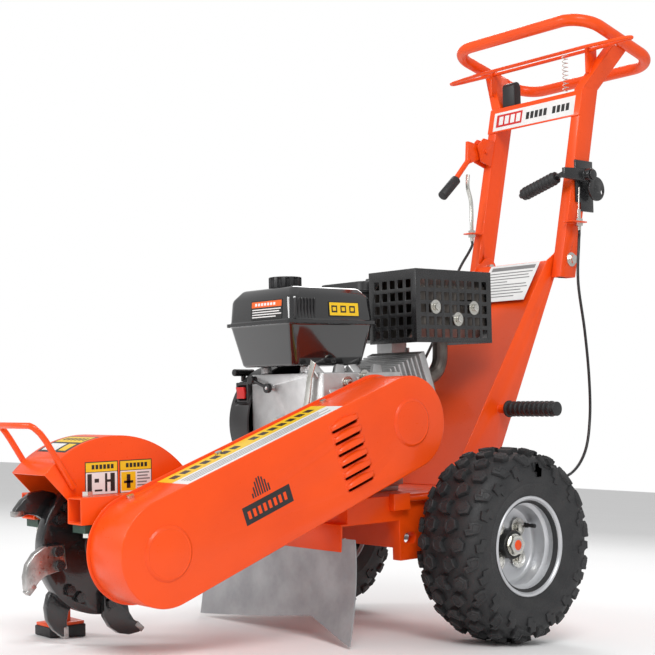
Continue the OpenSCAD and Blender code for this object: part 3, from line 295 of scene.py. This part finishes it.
RIM = [(90, 59), (90.3, 61), (88.8, 62.3), (86, 62.2), (84, 60.5), (82.6, 57), (81.6, 50), (80.6, 42),
       (79, 38.5), (75, 36.6), (72.4, 34.5), (71.4, 31), (71, 16), (70.2, 11), (67.4, 7.2), (62, 5),
       (50, 3.6), (44, 5.2), (32, 5.2), (26, 3.4), (26, -2), (66, -2), (72, 4), (74, 30), (76, 35.4),
       (79, 36), (80, 56), (84.5, 58.6)]
tread_line = [(0, 167.6), (18, 167.5), (34, 166.6), (47, 163.4), (57, 158.4), (64.5, 151), (68.6, 142),
              (70.2, 132), (70.1, 122), (68.6, 114.8), (68.9, 113.4), (68.2, 112), (65.6, 103), (61, 93),
              (58.4, 88), (57, 80)]
TYRE = ([(r, y) for y, r in tread_line]
        + [(77, 50), (99, 53), (137, 62), (155, 40), (155, -40), (137, -62), (99, -53), (77, -50)]
        + [(r, -y) for y, r in tread_line[:0:-1]])
tread_r = 168
pitches = 16
pitch = 2 * pi * tread_r / pitches
BLOCKS = {  # one pitch of tread: outline along the rim and across it, and height
    "heart": ([(-13, -15), (-4, -8), (4, -8), (13, -15), (15, -3), (9, 12), (0, 16), (-9, 12), (-15, -3)],
              (0, 0), 9.3),
    "diamond": ([(-15, -4), (-8, -13), (8, -13), (15, -2), (11, 10), (-4, 14)], (pitch / 2, 24), 9.4),
    "second": ([(-14, -6), (-4, -14), (10, -11), (15, 2), (6, 13), (-9, 11)], (0, 41), 9.0),
    "step": ([(-17, -8), (-5, -14), (-2, -4), (10, -6), (15, 6), (13, 16), (-6, 14), (-12, 3)],
             (pitch / 2, 62), 7.6),
    "shoulder": ([(-15, -12), (2, -15), (4, -4), (14, -2), (15, 13), (-2, 15), (-4, 6), (-15, 5)],
                 (2, 83), 6.4),
}
widest, tallest = 72.3, 177.3  # half of the CAD tyre's width, and its radius, less a hair


def on_casing(along, across, height):
    """A point of the tread laid on the tyre: along the rim, across it from the middle, and up."""
    left, side = abs(across), -1 if across < 0 else 1
    for (y0, r0), (y1, r1) in zip(tread_line, tread_line[1:]):
        step = hypot(y1 - y0, r1 - r0)
        if left <= step or (y1, r1) == tread_line[-1]:
            break
        left -= step
    out_y, out_r = (r0 - r1) / step, (y1 - y0) / step
    y = min(y0 + (y1 - y0) * left / step + out_y * height, widest)
    r = min(r0 + (r1 - r0) * left / step + out_r * height, tallest)
    turn = along / tread_r
    return Vector((r * sin(turn), side * y, r * cos(turn))) / 1000


def tyre_block(outline, middle, height, side):
    """One block: an outline drawn up from the casing, sloped, with a dimple in its top."""
    root = 2
    bpy.ops.mesh.primitive_circle_add(vertices=len(outline), fill_type="NGON")
    block = bpy.context.object
    for corner, (u, v) in zip(block.data.vertices, outline):
        corner.co = (u, v, -root)
    bpy.ops.object.mode_set(mode="EDIT")
    bpy.ops.mesh.select_all(action="SELECT")
    bpy.ops.mesh.normals_make_consistent(inside=False)
    bpy.ops.mesh.extrude_region_move(TRANSFORM_OT_translate={"value": (0, 0, root + height - 1)})
    bpy.ops.transform.resize(value=(0.9, 0.9, 1))
    bpy.ops.mesh.inset(thickness=0, depth=0)
    bpy.ops.transform.resize(value=(0.92, 0.92, 1))
    bpy.ops.transform.translate(value=(0, 0, 1))
    bpy.ops.mesh.inset(thickness=3.2, depth=0)
    bpy.ops.mesh.inset(thickness=0.8, depth=-1.1)
    bpy.ops.mesh.select_all(action="SELECT")
    bpy.ops.mesh.normals_make_consistent(inside=False)
    bpy.ops.object.mode_set(mode="OBJECT")
    for corner in block.data.vertices:
        u, v, h = corner.co
        corner.co = on_casing(u + middle[0], side * (v + middle[1]), h)
    if side < 0:
        block.data.flip_normals()
    return block


bpy.ops.object.select_all(action="DESELECT")
tread = [tyre_block(*BLOCKS[kind], side) for kind in BLOCKS
         for side in (-1, 1) if kind != "heart" or side > 0]
for block in tread:
    block.select_set(True)
bpy.context.view_layer.objects.active = tread[0]
bpy.ops.object.join()
bpy.ops.object.mode_set(mode="EDIT")
bpy.ops.mesh.select_all(action="SELECT")
bpy.ops.mesh.normals_make_consistent(inside=False)
bpy.ops.mesh.spin(steps=pitches, angle=2 * pi, center=(0, 0, 0), axis=(0, 1, 0), dupli=True)
bpy.ops.mesh.remove_doubles(threshold=0.00001)
bpy.ops.object.mode_set(mode="OBJECT")
tread = bpy.context.object

wheel_y = 264
for side, name in ((-1, "near"), (1, "far")):
    hub = at(0, side * wheel_y, 0)
    casing = turned(name + "_tyre_moulded", TYRE, Vector())
    lugs = tread.copy()
    lugs.data = tread.data.copy()
    bpy.context.scene.collection.objects.link(lugs)
    lugs.select_set(True)
    bpy.context.view_layer.objects.active = casing
    bpy.ops.object.join()
    casing.data.transform(Matrix.Translation(hub))
    dress(casing, tyre_rubber, name + "_wheel", name + "_tyre", smooth=32)
    rim = turned(name + "_rim_pressed", RIM, Vector())
    mirrored(rim, side)
    rim.data.transform(Matrix.Translation(hub))
    dress(rim, silver_coat, name + "_wheel", name + "_rim", smooth=30)
    back = turned(name + "_rim_inner_flange",
                  [(66, 2), (74, -4), (76, -32), (80, -38), (81, -57), (86, -62), (90, -60), (86, -59),
                   (83, -55), (82, -36), (78, -30), (76, -2), (67, 5)], Vector())
    mirrored(back, side)
    back.data.transform(Matrix.Translation(hub))
    dress(back, silver_coat, name + "_wheel")
    coat_node(black_iron, name + "_hub")
    nuts = screw_head(name + "_wheel_nuts", 17, 8)
    bolt_circle_r, nut_y = 40, wheel_y + 8
    bolt_turn = [radians(a) for a in (45, 135, 225, 315)]
    set_out(nuts, [stood((bolt_circle_r * cos(a), side * nut_y, bolt_circle_r * sin(a)), (0, side, 0))
                   for a in bolt_turn])
    dress(nuts, zinc, name + "_wheel")
    stem = turned(name + "_valve_stem",
                  [(0, 0), (4.6, 0), (4.6, 8), (3.2, 11), (3.2, 16), (3.9, 16.5), (3.9, 25), (0, 25)],
                  Vector(), 24)
    mirrored(stem, side)
    stem.data.transform(Matrix.Translation(at(52, side * (wheel_y + 4), 30)))
    dress(stem, black_plastic, name + "_wheel")
bpy.data.objects.remove(tread)

# ---- Cutter ----
# A forged steel wheel on a 30 mm shaft in two green cast bearing blocks. Eight hooked teeth are
# bolted on alternate faces, each with a brazed carbide tip.
green_iron = finish("green_cast_iron", (0.012, 0.045, 0.03), (0.02, 0.06, 0.04), 0.5, patch=30, grain=300,
                    relief=0.5)
cutter_black = finish("cutter_paint", (0.009, 0.009, 0.01), (0.02, 0.02, 0.021), 0.22, coat=0.5, patch=22,
                      grain=240, relief=0.25)
coat_node(green_iron, "cutter_bearings")
coat_node(bright_steel, "cutter_shaft")
rounded("cutter_wheel", cutter_black, 2.0)
teeth = rounded("cutter_teeth", cutter_black, 2.2, 3)
carbide = finish("bare_worn_steel", (0.52, 0.51, 0.5), (0.33, 0.32, 0.31), 0.32, metal=1, patch=70, grain=300,
                 relief=0.4)
bpy.ops.object.select_all(action="DESELECT")
bpy.ops.mesh.primitive_cube_add(size=1)
tips = fresh()
tips.name = "carbide_tips"
bpy.ops.transform.resize(value=(18, 9, 15))
shaped(tips, 1.4)
tooth_count, first_tooth = 8, 8  # how many, and the first one's angle in degrees
disc_y, tip_y = -28, 19
tip_lie = (Matrix.Translation((144, 0, 37)) @ Matrix.Rotation(radians(-38), 4, "Y")
           @ Matrix.Rotation(pi / 2, 4, "X"))
spots = []
for i in range(tooth_count):
    spin = Matrix.Rotation(-radians(360 / tooth_count * i + first_tooth), 4, "Y")
    face = -1 if i % 2 == 0 else 1
    spots.append(machine @ Matrix.Translation((cutter_x, disc_y + face * tip_y, cutter_z)) @ spin @ tip_lie)
set_out(tips, spots)
dress(tips, carbide, "cutter")
teeth.data.materials.append(carbide)
bare_from, bare_to = 176, 209  # the stretch of the turn that holds the one tooth with no paint left
for face in teeth.data.polygons:
    place = machine.inverted() @ face.center
    if bare_from < degrees(atan2(place.z - cutter_z, place.x - cutter_x)) % 360 < bare_to:
        face.material_index = 1
coat_node(black_coat, "tooth_bolts")
coat_node(zinc, "frame_bolts")

# ---- Hood ----
# A rolled steel hood over the top of the cutter, open at the front and below, with a bent rod
# welded to its sides for lifting that end.
rounded("cutter_hood", orange_coat, 0.8)


def vinyl(name, tone, faded):
    """The satin film that a label is printed on."""
    return finish(name, tone, faded, 0.35, patch=20, grain=300, relief=0.04)


print_white = vinyl("white_vinyl", (0.8, 0.8, 0.79), (0.74, 0.74, 0.73))
print_yellow = vinyl("yellow_vinyl", (0.85, 0.56, 0.01), (0.8, 0.5, 0.01))
print_black = vinyl("black_vinyl", (0.01, 0.01, 0.01), (0.018, 0.018, 0.018))
print_red = vinyl("red_vinyl", (0.6, 0.012, 0.01), (0.55, 0.01, 0.01))
print_grey = vinyl("grey_vinyl", (0.2, 0.2, 0.2), (0.24, 0.24, 0.24))
sunk, film, layer_t = 0.2, 0.35, 0.12  # a label's depth in its surface, its thickness, and a layer's


def sticker(name, corner, along, up, patches, radius=0):
    """A printed label with plain shapes on it: thin rectangles laid on one another, joined in one.

    A patch is (left, bottom, right, top, layer, tone) in millimetres from the corner. With a radius,
    the label is wrapped round a cylinder that starts at the corner and bends away from its face."""
    along, up = Vector(along).normalized(), Vector(up).normalized()
    out = along.cross(up)
    lie = machine @ Matrix.Translation(Vector(corner)) @ Matrix((along, up, out)).transposed().to_4x4()
    made = []
    for left, bottom, right, top, layer, tone in patches:
        bpy.ops.object.select_all(action="DESELECT")
        bpy.ops.mesh.primitive_plane_add(size=1)
        piece = fresh()
        if radius:
            bpy.ops.mesh.subdivide(number_cuts=15)
        bpy.ops.transform.resize(value=(right - left, top - bottom, 1))
        bpy.ops.transform.translate(value=((left + right) / 2, (bottom + top) / 2, -sunk))
        bpy.ops.mesh.extrude_region_move(TRANSFORM_OT_translate={"value": (0, 0, film + layer_t * layer)})
        bpy.ops.mesh.select_all(action="SELECT")
        bpy.ops.mesh.normals_make_consistent(inside=False)
        bpy.ops.object.mode_set(mode="OBJECT")
        if radius:
            for corner_point in piece.data.vertices:
                u, v, h = corner_point.co
                corner_point.co = ((radius + h) * sin(u / radius), v, (radius + h) * cos(u / radius) - radius)
        piece.data.materials.append(tone)
        made.append(piece)
    for piece in made:
        piece.select_set(True)
    bpy.context.view_layer.objects.active = made[0]
    bpy.ops.object.join()
    made[0].name = name
    made[0].data.transform(lie)
    return dress(made[0], print_white, "chassis", smooth=20)


def bars(left, top, widths, height, gap, layer, tone):
    """Rows of plain bars that stand for lines of print, from the top down."""
    return [(left, top - (i + 1) * height - i * gap, left + width, top - i * (height + gap), layer, tone)
            for i, width in enumerate(widths)]


def notice(width):
    """A notice's white ground with a yellow head and a row of plain blocks in it."""
    edge, high = 1.5, 53
    ground = [(0, 0, width, high, 0, print_black), (edge, 37, width - edge, high - edge, 1, print_yellow),
              (edge, edge, width - edge, 36, 1, print_white)]
    return ground + [(12 + 7 * i, 41, 17 + 7 * i, 48, 2, print_black) for i in range(6)]


hood_face, hood_r = -82, 176
blocks = [(4, 6, 12, 34), (17, 20, 25, 26), (17, 6, 31, 9),
          (36, 5, 40, 34), (46, 5, 54, 34), (40, 20, 46, 24)]
sticker("hood_notice_plain", (-770, hood_face, 130), (1, 0, 0), (0, 0, 1),
        notice(60) + [(*block, 2, print_black) for block in blocks])
sticker("hood_notice_marked", (-707, hood_face, 130), (1, 0, 0), (0, 0, 1), notice(61)
        + [(3, 4, 30, 34, 2, print_yellow), (13, 8, 20, 30, 3, print_black), (8, 16, 25, 20, 3, print_black)]
        + bars(33, 33, [23, 20, 24, 18, 23, 21], 2.4, 2.6, 2, print_grey))
tilt = radians(-30)
sticker("hood_top_notice", (cutter_x + hood_r * sin(tilt), -74, cutter_z + hood_r * cos(tilt)),
        (cos(tilt), 0, -sin(tilt)), (0, 1, 0),
        [(0, 0, 66, 90, 0, print_black), (34, 4, 62, 86, 1, print_yellow), (5, 8, 28, 30, 1, print_yellow),
         (5, 38, 28, 84, 1, print_white)]
        + [(42, 10 + 12 * i, 54, 17 + 12 * i, 2, print_black) for i in range(6)], radius=hood_r)

# ---- Belt drive ----
# Two V belts run from the clutch pulley to the cutter pulley inside a pressed steel guard.
# The guard has a round emboss at each end and six louvres, and screws to a back plate.
coat_node(black_iron, "cutter_pulley", "clutch_pulley")
coat_node(dark_rubber, "drive_belts")
rounded("guard_back_plate", orange_coat, 0.8)
rounded("belt_guard", orange_coat, 2.4, 3)
coat_node(zinc, "guard_screws")
rounded("belt_tensioner", orange_coat, 0.8)

crank_x, crank_z = -194, 228
run_length = hypot(crank_x - cutter_x, crank_z - cutter_z)
run_rise = atan2(crank_z - cutter_z, crank_x - cutter_x)
run_along, run_up = Vector((cos(run_rise), 0, sin(run_rise))), Vector((-sin(run_rise), 0, cos(run_rise)))
cutter_hub = Vector((cutter_x, 0, cutter_z))
guard_face, guard_top = -227, 83


def on_run(u, v, y):
    """A place on the guard: along the belt's run from the cutter shaft, across it, and sideways."""
    return cutter_hub + u * run_along + v * run_up + Vector((0, y, 0))


bpy.ops.object.select_all(action="DESELECT")
bpy.ops.mesh.primitive_uv_sphere_add(segments=40, ring_count=20, radius=1)
louvre = fresh()
louvre.name = "guard_louvres"
bpy.ops.transform.resize(value=(33, 10.5, 9))
bpy.ops.mesh.bisect(plane_co=(0, 0, 0.2), plane_no=(0, 0, 1), clear_inner=True)
bpy.ops.mesh.select_all(action="SELECT")
bpy.ops.mesh.bisect(plane_co=(0, -3.5, 0), plane_no=(0, 1, -0.35), clear_inner=True)
bpy.ops.object.mode_set(mode="OBJECT")
skin = louvre.modifiers.new("sheet", "SOLIDIFY")
skin.thickness = 1.2
skin.offset = -1
bpy.ops.object.modifier_apply(modifier="sheet")
lie = Matrix((run_along, run_up, (0, -1, 0))).transposed().to_4x4()
louvre_u, first_v, louvre_step = run_length - 150, 56, 21
set_out(louvre, [machine @ Matrix.Translation(on_run(louvre_u, first_v - louvre_step * i, guard_face + 0.4))
                 @ lie for i in range(6)])
dress(louvre, orange_coat, "chassis", smooth=60)
for end, label in ((0, "cutter_end"), (run_length, "engine_end")):
    bead = turned("emboss_bead_" + label,
                  [(43, 0.3), (42.6, -0.8), (41, -1.4), (39.8, -2.6), (38.6, -3.3), (37, -3.3), (36, -2.2),
                   (36, 0.3)], Vector(), 72)
    bead.data.transform(Matrix.Translation(at(*on_run(end, 0, guard_face))))
    dress(bead, orange_coat, "chassis", smooth=50)

banner = [(0, 0, 340, 84, 0, print_white), (0, 42, 340, 84, 1, print_yellow)]
banner += [(14 + 21 * i, 55, 28 + 21 * i, 72, 2, print_black) for i in range(15) if i % 8 != 7]
banner += bars(12, 34, [300, 316, 288, 308], 3.0, 4.2, 1, print_grey)
sticker("guard_banner", on_run(70, guard_top, guard_face + 4), run_along, (0, 1, 0), banner)
nameplate = [(0, 0, 102, 30, 0, print_black)]
nameplate += [(8 + 11 * i, 8, 14 + 11 * i, 21, 1, orange_coat) for i in range(8)]
sticker("guard_nameplate_blank", on_run(150, -22, guard_face), run_along, run_up, nameplate)
badge = [(26 + 5 * i, 36, 29 + 5 * i, 44 + 22 * sin(0.42 * i), 0, print_black) for i in range(8)]
sticker("guard_badge_blank", on_run(150, -22, guard_face), run_along, run_up, badge)

# ---- Engine ----
# A slant-cylinder petrol engine: die-cast alloy case and finned head, black blower housing on
# the far side, with its starter, switch and throttle.
cast_alloy = finish("cast_alloy", (0.6, 0.6, 0.6), (0.48, 0.48, 0.48), 0.42, metal=0.75, patch=30, grain=380,
                    relief=0.5)
red_plastic = finish("red_switch_plastic", (0.62, 0.012, 0.01), (0.5, 0.01, 0.01), 0.35, patch=40)
rounded("crankcase", cast_alloy, 3.0, 3)
rounded("cylinder_head", cast_alloy, 0.8)
rounded("blower_housing", black_plastic, 3.0, 3)
coat_node(cast_alloy, "carburettor")


def plate(name, outline, thick, edge):
    """A flat piece with broken edges: an outline in millimetres drawn up along Z."""
    bpy.ops.object.select_all(action="DESELECT")
    bpy.ops.mesh.primitive_circle_add(vertices=len(outline), fill_type="NGON")
    piece = bpy.context.object
    piece.name = name
    for corner, (u, v) in zip(piece.data.vertices, outline):
        corner.co = (u, v, 0)
    fresh()
    bpy.ops.mesh.extrude_region_move(TRANSFORM_OT_translate={"value": (0, 0, thick)})
    bpy.ops.mesh.select_all(action="SELECT")
    bpy.ops.mesh.normals_make_consistent(inside=False)
    return shaped(piece, edge, 3)


def lying(corner, along, up):
    """The matrix that lays a drawn plate on a plane given by a corner and two directions."""
    along, up = Vector(along).normalized(), Vector(up).normalized()
    lie = Matrix((along, up, along.cross(up))).transposed().to_4x4()
    return machine @ Matrix.Translation(Vector(corner)) @ lie


arm = plate("tank_bracket_arms",
            [(-16, 0), (16, 0), (20, 30), (34, 52), (44, 78), (24, 80), (12, 62), (0, 54), (-12, 62),
             (-22, 80), (-42, 78), (-32, 50), (-20, 30)], 11, 2.4)
case_face, case_front = -105, -294
set_out(arm, [lying((x, case_face - 3, 262), (1, 0, 0), (0, 0.5, 0.87)) for x in (-262, -168)])
dress(arm, cast_alloy, "chassis")
ribs = plate("crankcase_ribs", [(0, 0), (40, 0), (38, 4), (10, 12), (0, 12)], 4.5, 1.2)
spots = [machine @ Matrix.Translation((crank_x, case_face + 1, crank_z))
         @ Matrix.Rotation(-radians(a), 4, "Y") @ Matrix.Translation((46, 0, -2))
         @ Matrix.Rotation(pi, 4, "X") for a in range(75, 286, 30)]
set_out(ribs, spots)
dress(ribs, cast_alloy, "chassis")
case_bolts = screw_head("crankcase_bolts", 12, 7)
ring_r, cover_t = 84, 7
near_ring = [stood((crank_x + ring_r * cos(radians(a)), case_face, crank_z + ring_r * sin(radians(a))),
                   (0, -1, 0)) for a in range(60, 300, 30)]
front_ring = [stood((case_front - cover_t, y, z), (-1, 0, 0)) for y in (-84, -30, 24) for z in (138, 226)]
set_out(case_bolts, near_ring + front_ring)
dress(case_bolts, zinc, "chassis")
cover = plate("crankcase_front_cover",
              [(-94, 128), (-88, 120), (28, 120), (34, 128), (34, 232), (26, 240), (-20, 246), (-86, 240),
               (-94, 232)], cover_t, 2.2)
cover.data.transform(lying((case_front - cover_t, 0, 0), (0, 1, 0), (0, 0, 1)))
dress(cover, cast_alloy, "chassis")
governor = plate("governor_arm",
                 [(-7, -6), (7, -6), (8, 30), (5, 62), (9, 92), (-4, 96), (-8, 60), (-6, 28)], 3, 0.8)
governor.data.transform(lying((-303, -66, 250), (0, -0.25, 0.97), (0, 0.97, 0.25))
                        @ Matrix.Rotation(-pi / 2, 4, "Z"))
dress(governor, zinc, "chassis")
plug = turned("oil_dipstick",
              [(0, -4), (13, -4), (13, 6), (17, 7), (17, 20), (14.5, 23), (6, 24), (5, 32), (0, 33)],
              Vector(), 20)
plug.data.transform(Matrix.Scale(1000, 4))
plug.data.transform(stood((-298, -62, 150), (-1, 0, 0.35)) @ Matrix.Rotation(pi / 2, 4, "X"))
dress(plug, black_plastic, "chassis")
coat_node(bright_steel, "crankshaft")
rounded("recoil_handle", black_plastic, 1.5)
rounded("throttle_lever", black_plastic, 0.8)
rounded("engine_switch", red_plastic, 0.8)

# ---- Fuel tank ----
# Two deep-drawn shells, gloss black, seamed together round a flange, with a plastic filler cap.
tank_black = finish("tank_enamel", (0.006, 0.006, 0.007), (0.009, 0.009, 0.01), 0.09, coat=1.0, patch=4,
                    grain=60, relief=0.03)
rounded("fuel_tank", tank_black, 5.0, 4)
rounded("fuel_cap", black_plastic, 1.5)
print_orange = vinyl("orange_vinyl", (0.85, 0.13, 0.01), (0.8, 0.11, 0.01))
sticker("tank_front_notice", (-337.2, 48, 420), (0, -1, 0), (0.07, 0, 1),
        [(0, 0, 92, 36, 0, print_black), (2, 23, 90, 34, 1, print_orange)]
        + [(12 + 9 * i, 26, 18 + 9 * i, 31, 2, print_white) for i in range(7)]
        + bars(4, 20, [84, 80, 86, 70], 2.0, 2.6, 1, print_white))
sticker("tank_side_notice", (-250, -75.3, 424), (1, 0, 0), (0, 0.07, 1),
        [(0, 0, 74, 27, 0, print_black), (1.5, 1.5, 72.5, 25.5, 1, print_yellow)]
        + [(6 + 22 * i, 7, 20 + 22 * i, 20, 2, print_black) for i in range(3)]
        + [(9 + 22 * i, 10, 17 + 22 * i, 17, 3, print_yellow) for i in range(3)])
bpy.ops.object.select_all(action="DESELECT")
bpy.ops.mesh.primitive_cube_add(size=1)
ribs = fresh()
ribs.name = "tank_shroud_ribs"
bpy.ops.transform.resize(value=(3.4, 40, 5))
shaped(ribs, 1.0)
set_out(ribs, [machine @ Matrix.Translation((-330 + 7.5 * i, -73.5, 436)) @ Matrix.Rotation(pi / 2, 4, "X")
               @ Matrix.Rotation(radians(4), 4, "X") for i in range(7)])
dress(ribs, black_plastic, "chassis")

# ---- Air cleaner, muffler and cage ----
# The air cleaner is a moulded box on the carburettor. The muffler is a dark steel box behind a
# black cage of punched sheet.
burnt_steel = finish("heat_stained_steel", (0.22, 0.2, 0.18), (0.12, 0.1, 0.09), 0.45, metal=0.8, patch=20,
                     relief=0.3)
rounded("air_cleaner", black_plastic, 3.0, 3)
coat_node(burnt_steel, "muffler", "exhaust_elbow")
rounded("muffler_guard", black_coat, 0.6)
cage_screws = screw_head("cage_screws", 13, 7)
cage_face = -112
set_out(cage_screws, [stood((x, cage_face, z), (0, -1, 0)) for x, z in ((-10, 445), (98, 445), (52, 422))])
dress(cage_screws, zinc, "chassis")

# ---- Tower ----
# Two side plates and a sloping front panel, welded to the deck, that carry the handle.
rounded("rear_tower", orange_coat, 1.2)
rounded("side_grips", dark_rubber, 1.0)
panel_way = Vector((316, 0, 458)).normalized()
panel_top = Vector((340, 0, 554))
sticker("tower_notice_sheet", panel_top - 104 * panel_way + Vector((-1.2, 52, 1.0)), (0, -1, 0), panel_way,
        [(0, 0, 138, 100, 0, print_white), (8, 84, 130, 94, 1, print_grey)]
        + bars(8, 78, [120, 112, 118, 60, 116, 122, 108, 118, 96], 2.6, 5.4, 1, print_grey))

# ---- Handle ----
# Two box-section uprights bolted to the tower, a cross plate, and a bent tube loop on top.
rounded("handle_frame", orange_coat, 1.5, 3)
coat_node(orange_coat, "handlebar")
coat_node(zinc, "handle_bolts")
rounded("switch_box", black_plastic, 2.0)
slope, plate_z = 0.231, 872  # how far the uprights run back for their height, and the label's foot
plate_x = 348 + slope * (plate_z - 528) - 3
sticker("cross_plate_print", Vector((plate_x, 116, plate_z)), (0, -1, 0), Vector((slope, 0, 1)),
        [(0, 0, 232, 44, 0, print_white), (8, 8, 84, 38, 1, print_red)]
        + [(16 + 17 * i, 13, 28 + 17 * i, 33, 2, print_white) for i in range(4)]
        + [(96 + 12.5 * i, 13, 105 + 12.5 * i, 30, 1, print_black) for i in range(10) if i != 5])

# ---- Controls ----
# A wire bail on a return spring, a brake lever with a rubber grip, and a toggle lever. Each works
# a cable that leaves a threaded adjuster.
coat_node(orange_coat, "bail")
coat_node(zinc, "bail_spring", "cable_adjusters")
rounded("brake_bracket", black_coat, 0.8)
rounded("brake_lever", black_coat, 1.2)
rounded("brake_grip", dark_rubber, 0.8)
rounded("toggle_bracket", orange_coat, 0.8)
rounded("toggle_lever", orange_coat, 0.8)
rounded("toggle_grip", dark_rubber, 1.2)

# ---- Cables ----
# Two control cables in black plastic sleeves, held at their ends by the adjusters and the brakes.
sleeve = finish("cable_sleeve", (0.013, 0.013, 0.014), (0.02, 0.02, 0.02), 0.4, patch=60, grain=900)
BRAKE_RUN = [(396, -145, 616), (396, -145, 607), (386, -151, 588), (372, -157, 504), (389, -157, 403),
             (399, -157, 306), (394, -160, 220), (362, -170, 150), (300, -180, 108), (215, -181, 96),
             (130, -181, 84), (70, -183, 66), (44, -194, 56), (37, -198, 47)]
TOGGLE_RUN = [(350, 120, 616), (350, 120, 607), (338, 120, 590), (300, 121, 540), (250, 121, 440),
              (190, 124, 345), (122, 138, 255), (96, 158, 175), (86, 178, 115), (70, 183, 76), (44, 194, 56),
              (37, 198, 47)]


def eased(points, steps):
    """A smooth run through given points."""
    run = []
    for i in range(len(points) - 1):
        a, b, c, d = (Vector(points[min(max(i + k, 0), len(points) - 1)]) for k in (-1, 0, 1, 2))
        for k in range(steps + (i == len(points) - 2)):
            t = k / steps
            bend, twist = 2 * a - 5 * b + 4 * c - d, 3 * b - a - 3 * c + d
            run.append((2 * b + (c - a) * t + bend * t ** 2 + twist * t ** 3) / 2)
    return run


for node, run in (("brake_cable", BRAKE_RUN), ("toggle_cable", TOGGLE_RUN)):
    name = node + "_sleeve"
    points = [at(*p) for p in eased(run, 6)]
    line = bpy.data.curves.new(name, "CURVE")
    line.dimensions = "3D"
    line.bevel_depth = 0.003
    line.bevel_resolution = 4
    line.use_fill_caps = True
    spline = line.splines.new("POLY")
    spline.points.add(len(points) - 1)
    for knot, p in zip(spline.points, points):
        knot.co = (*p, 1)
    cable = bpy.data.objects.new(name, line)
    bpy.context.scene.collection.objects.link(cable)
    line.materials.append(sleeve)
    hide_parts(node)
    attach(cable, "chassis")

# ---- Stand ----
# A square steel leg, drilled for height, in a sleeve on the far arm, with a rubber foot and a
# tee screw that clamps it.
rounded("stand_post", orange_coat, 1.0)
rounded("stand_foot", dark_rubber, 2.0)
coat_node(zinc, "stand_screw")

# ---- Chip deflector ----
# A galvanised sheet that hangs behind the cutter from a clamp bar under the deck.
galvanised = finish("galvanised_sheet", (0.3, 0.3, 0.31), (0.4, 0.4, 0.41), 0.42, metal=0.6, patch=14,
                    grain=120, relief=0.1)
near_edge, sheet_w, sheet_top, sheet_h, sheet_x = -203, 439, 30, 173, -312
bpy.ops.object.select_all(action="DESELECT")
bpy.ops.mesh.primitive_grid_add(x_subdivisions=44, y_subdivisions=16, size=1)
sheet = bpy.context.object
sheet.name = "chip_deflector_bent"
for corner in sheet.data.vertices:
    across, down = corner.co.x + 0.5, 0.5 - corner.co.y
    crease = 0.28 - 0.04 * down
    near = max(0.0, 1 - across / crease)
    lift = 1 - near if across < crease else (1 - across) / (1 - crease)
    y = near_edge + sheet_w * across - 28 * near * down
    z = sheet_top - down * (sheet_h - 34 * lift ** 1.2)
    x = sheet_x - 16 * down ** 2 - 26 * near * down ** 1.4 + 3 * sin(3 * pi * across) * down
    corner.co = (x, y, z)
bpy.context.view_layer.objects.active = sheet
skin = sheet.modifiers.new("gauge", "SOLIDIFY")
skin.thickness = 2.4
bpy.ops.object.modifier_apply(modifier="gauge")
sheet.data.transform(machine)
dress(sheet, galvanised, "chassis", "chip_deflector", smooth=30)
coat_node(zinc, "deflector_clamp")

# ---- Floor, light and camera ----
# A plain pale floor, a large soft light high on the cutter's side, a second one from behind the
# operator, and a camera at about knee height.
bpy.ops.object.select_all(action="DESELECT")
bpy.ops.mesh.primitive_plane_add(size=60, location=(0, 0, -0.0005))
floor = bpy.context.object
floor.name = "floor"
pale = finish("pale_floor", (0.93, 0.93, 0.93), (0.91, 0.91, 0.91), 0.85, patch=1, relief=0.02)
floor.data.materials.append(pale)

world = bpy.data.worlds.new("studio")
bpy.context.scene.world = world
world.use_nodes = True
sky = world.node_tree.nodes["Background"]
sky.inputs["Color"].default_value = (1, 1, 1, 1)
rays = world.node_tree.nodes.new("ShaderNodeLightPath")
level = world.node_tree.nodes.new("ShaderNodeMapRange")
level.inputs["To Min"].default_value = 0.6
level.inputs["To Max"].default_value = 1.0
world.node_tree.links.new(rays.outputs["Is Camera Ray"], level.inputs["Value"])
world.node_tree.links.new(level.outputs["Result"], sky.inputs["Strength"])


def soft_light(name, place, target, size, power):
    """A square lamp of a size in metres, turned from its place to a target."""
    lamp = bpy.data.lights.new(name, "AREA")
    lamp.size = size
    lamp.energy = power
    light = bpy.data.objects.new(name, lamp)
    bpy.context.scene.collection.objects.link(light)
    light.location = place
    light.rotation_euler = (Vector(target) - Vector(place)).to_track_quat("-Z", "Y").to_euler()


soft_light("key", (-1.8, -2.6, 3.0), (0, 0, 0.4), 1.6, 85)
soft_light("side", (-3.2, 1.2, 1.8), (0, 0, 0.5), 1.2, 40)
soft_light("rim", (2.2, 2.0, 3.0), (0.2, 0, 0.6), 1.8, 50)

lens = bpy.data.cameras.new("camera")
camera = bpy.data.objects.new("camera", lens)
bpy.context.scene.collection.objects.link(camera)
bpy.context.scene.camera = camera
yaw, tilt, roll = radians(-40.14), radians(-2.45), radians(-1.17)
back = Vector((sin(yaw) * cos(tilt), -cos(yaw) * cos(tilt), sin(tilt)))
right = (-back).cross(Vector((0, 0, 1))).normalized()
up = right.cross(-back)
right, up = cos(roll) * right + sin(roll) * up, cos(roll) * up - sin(roll) * right
facing = Matrix((right, up, back)).transposed().to_4x4()
eye = at(-1820.9, -1883.3, 289.1)
camera.matrix_world = Matrix.Translation(eye) @ Matrix.Rotation(-lean, 4, "Y") @ facing
bpy.context.scene.view_settings.view_transform = "Standard"
lens.lens = 71.8
lens.shift_x = 0.026
lens.shift_y = 0.010
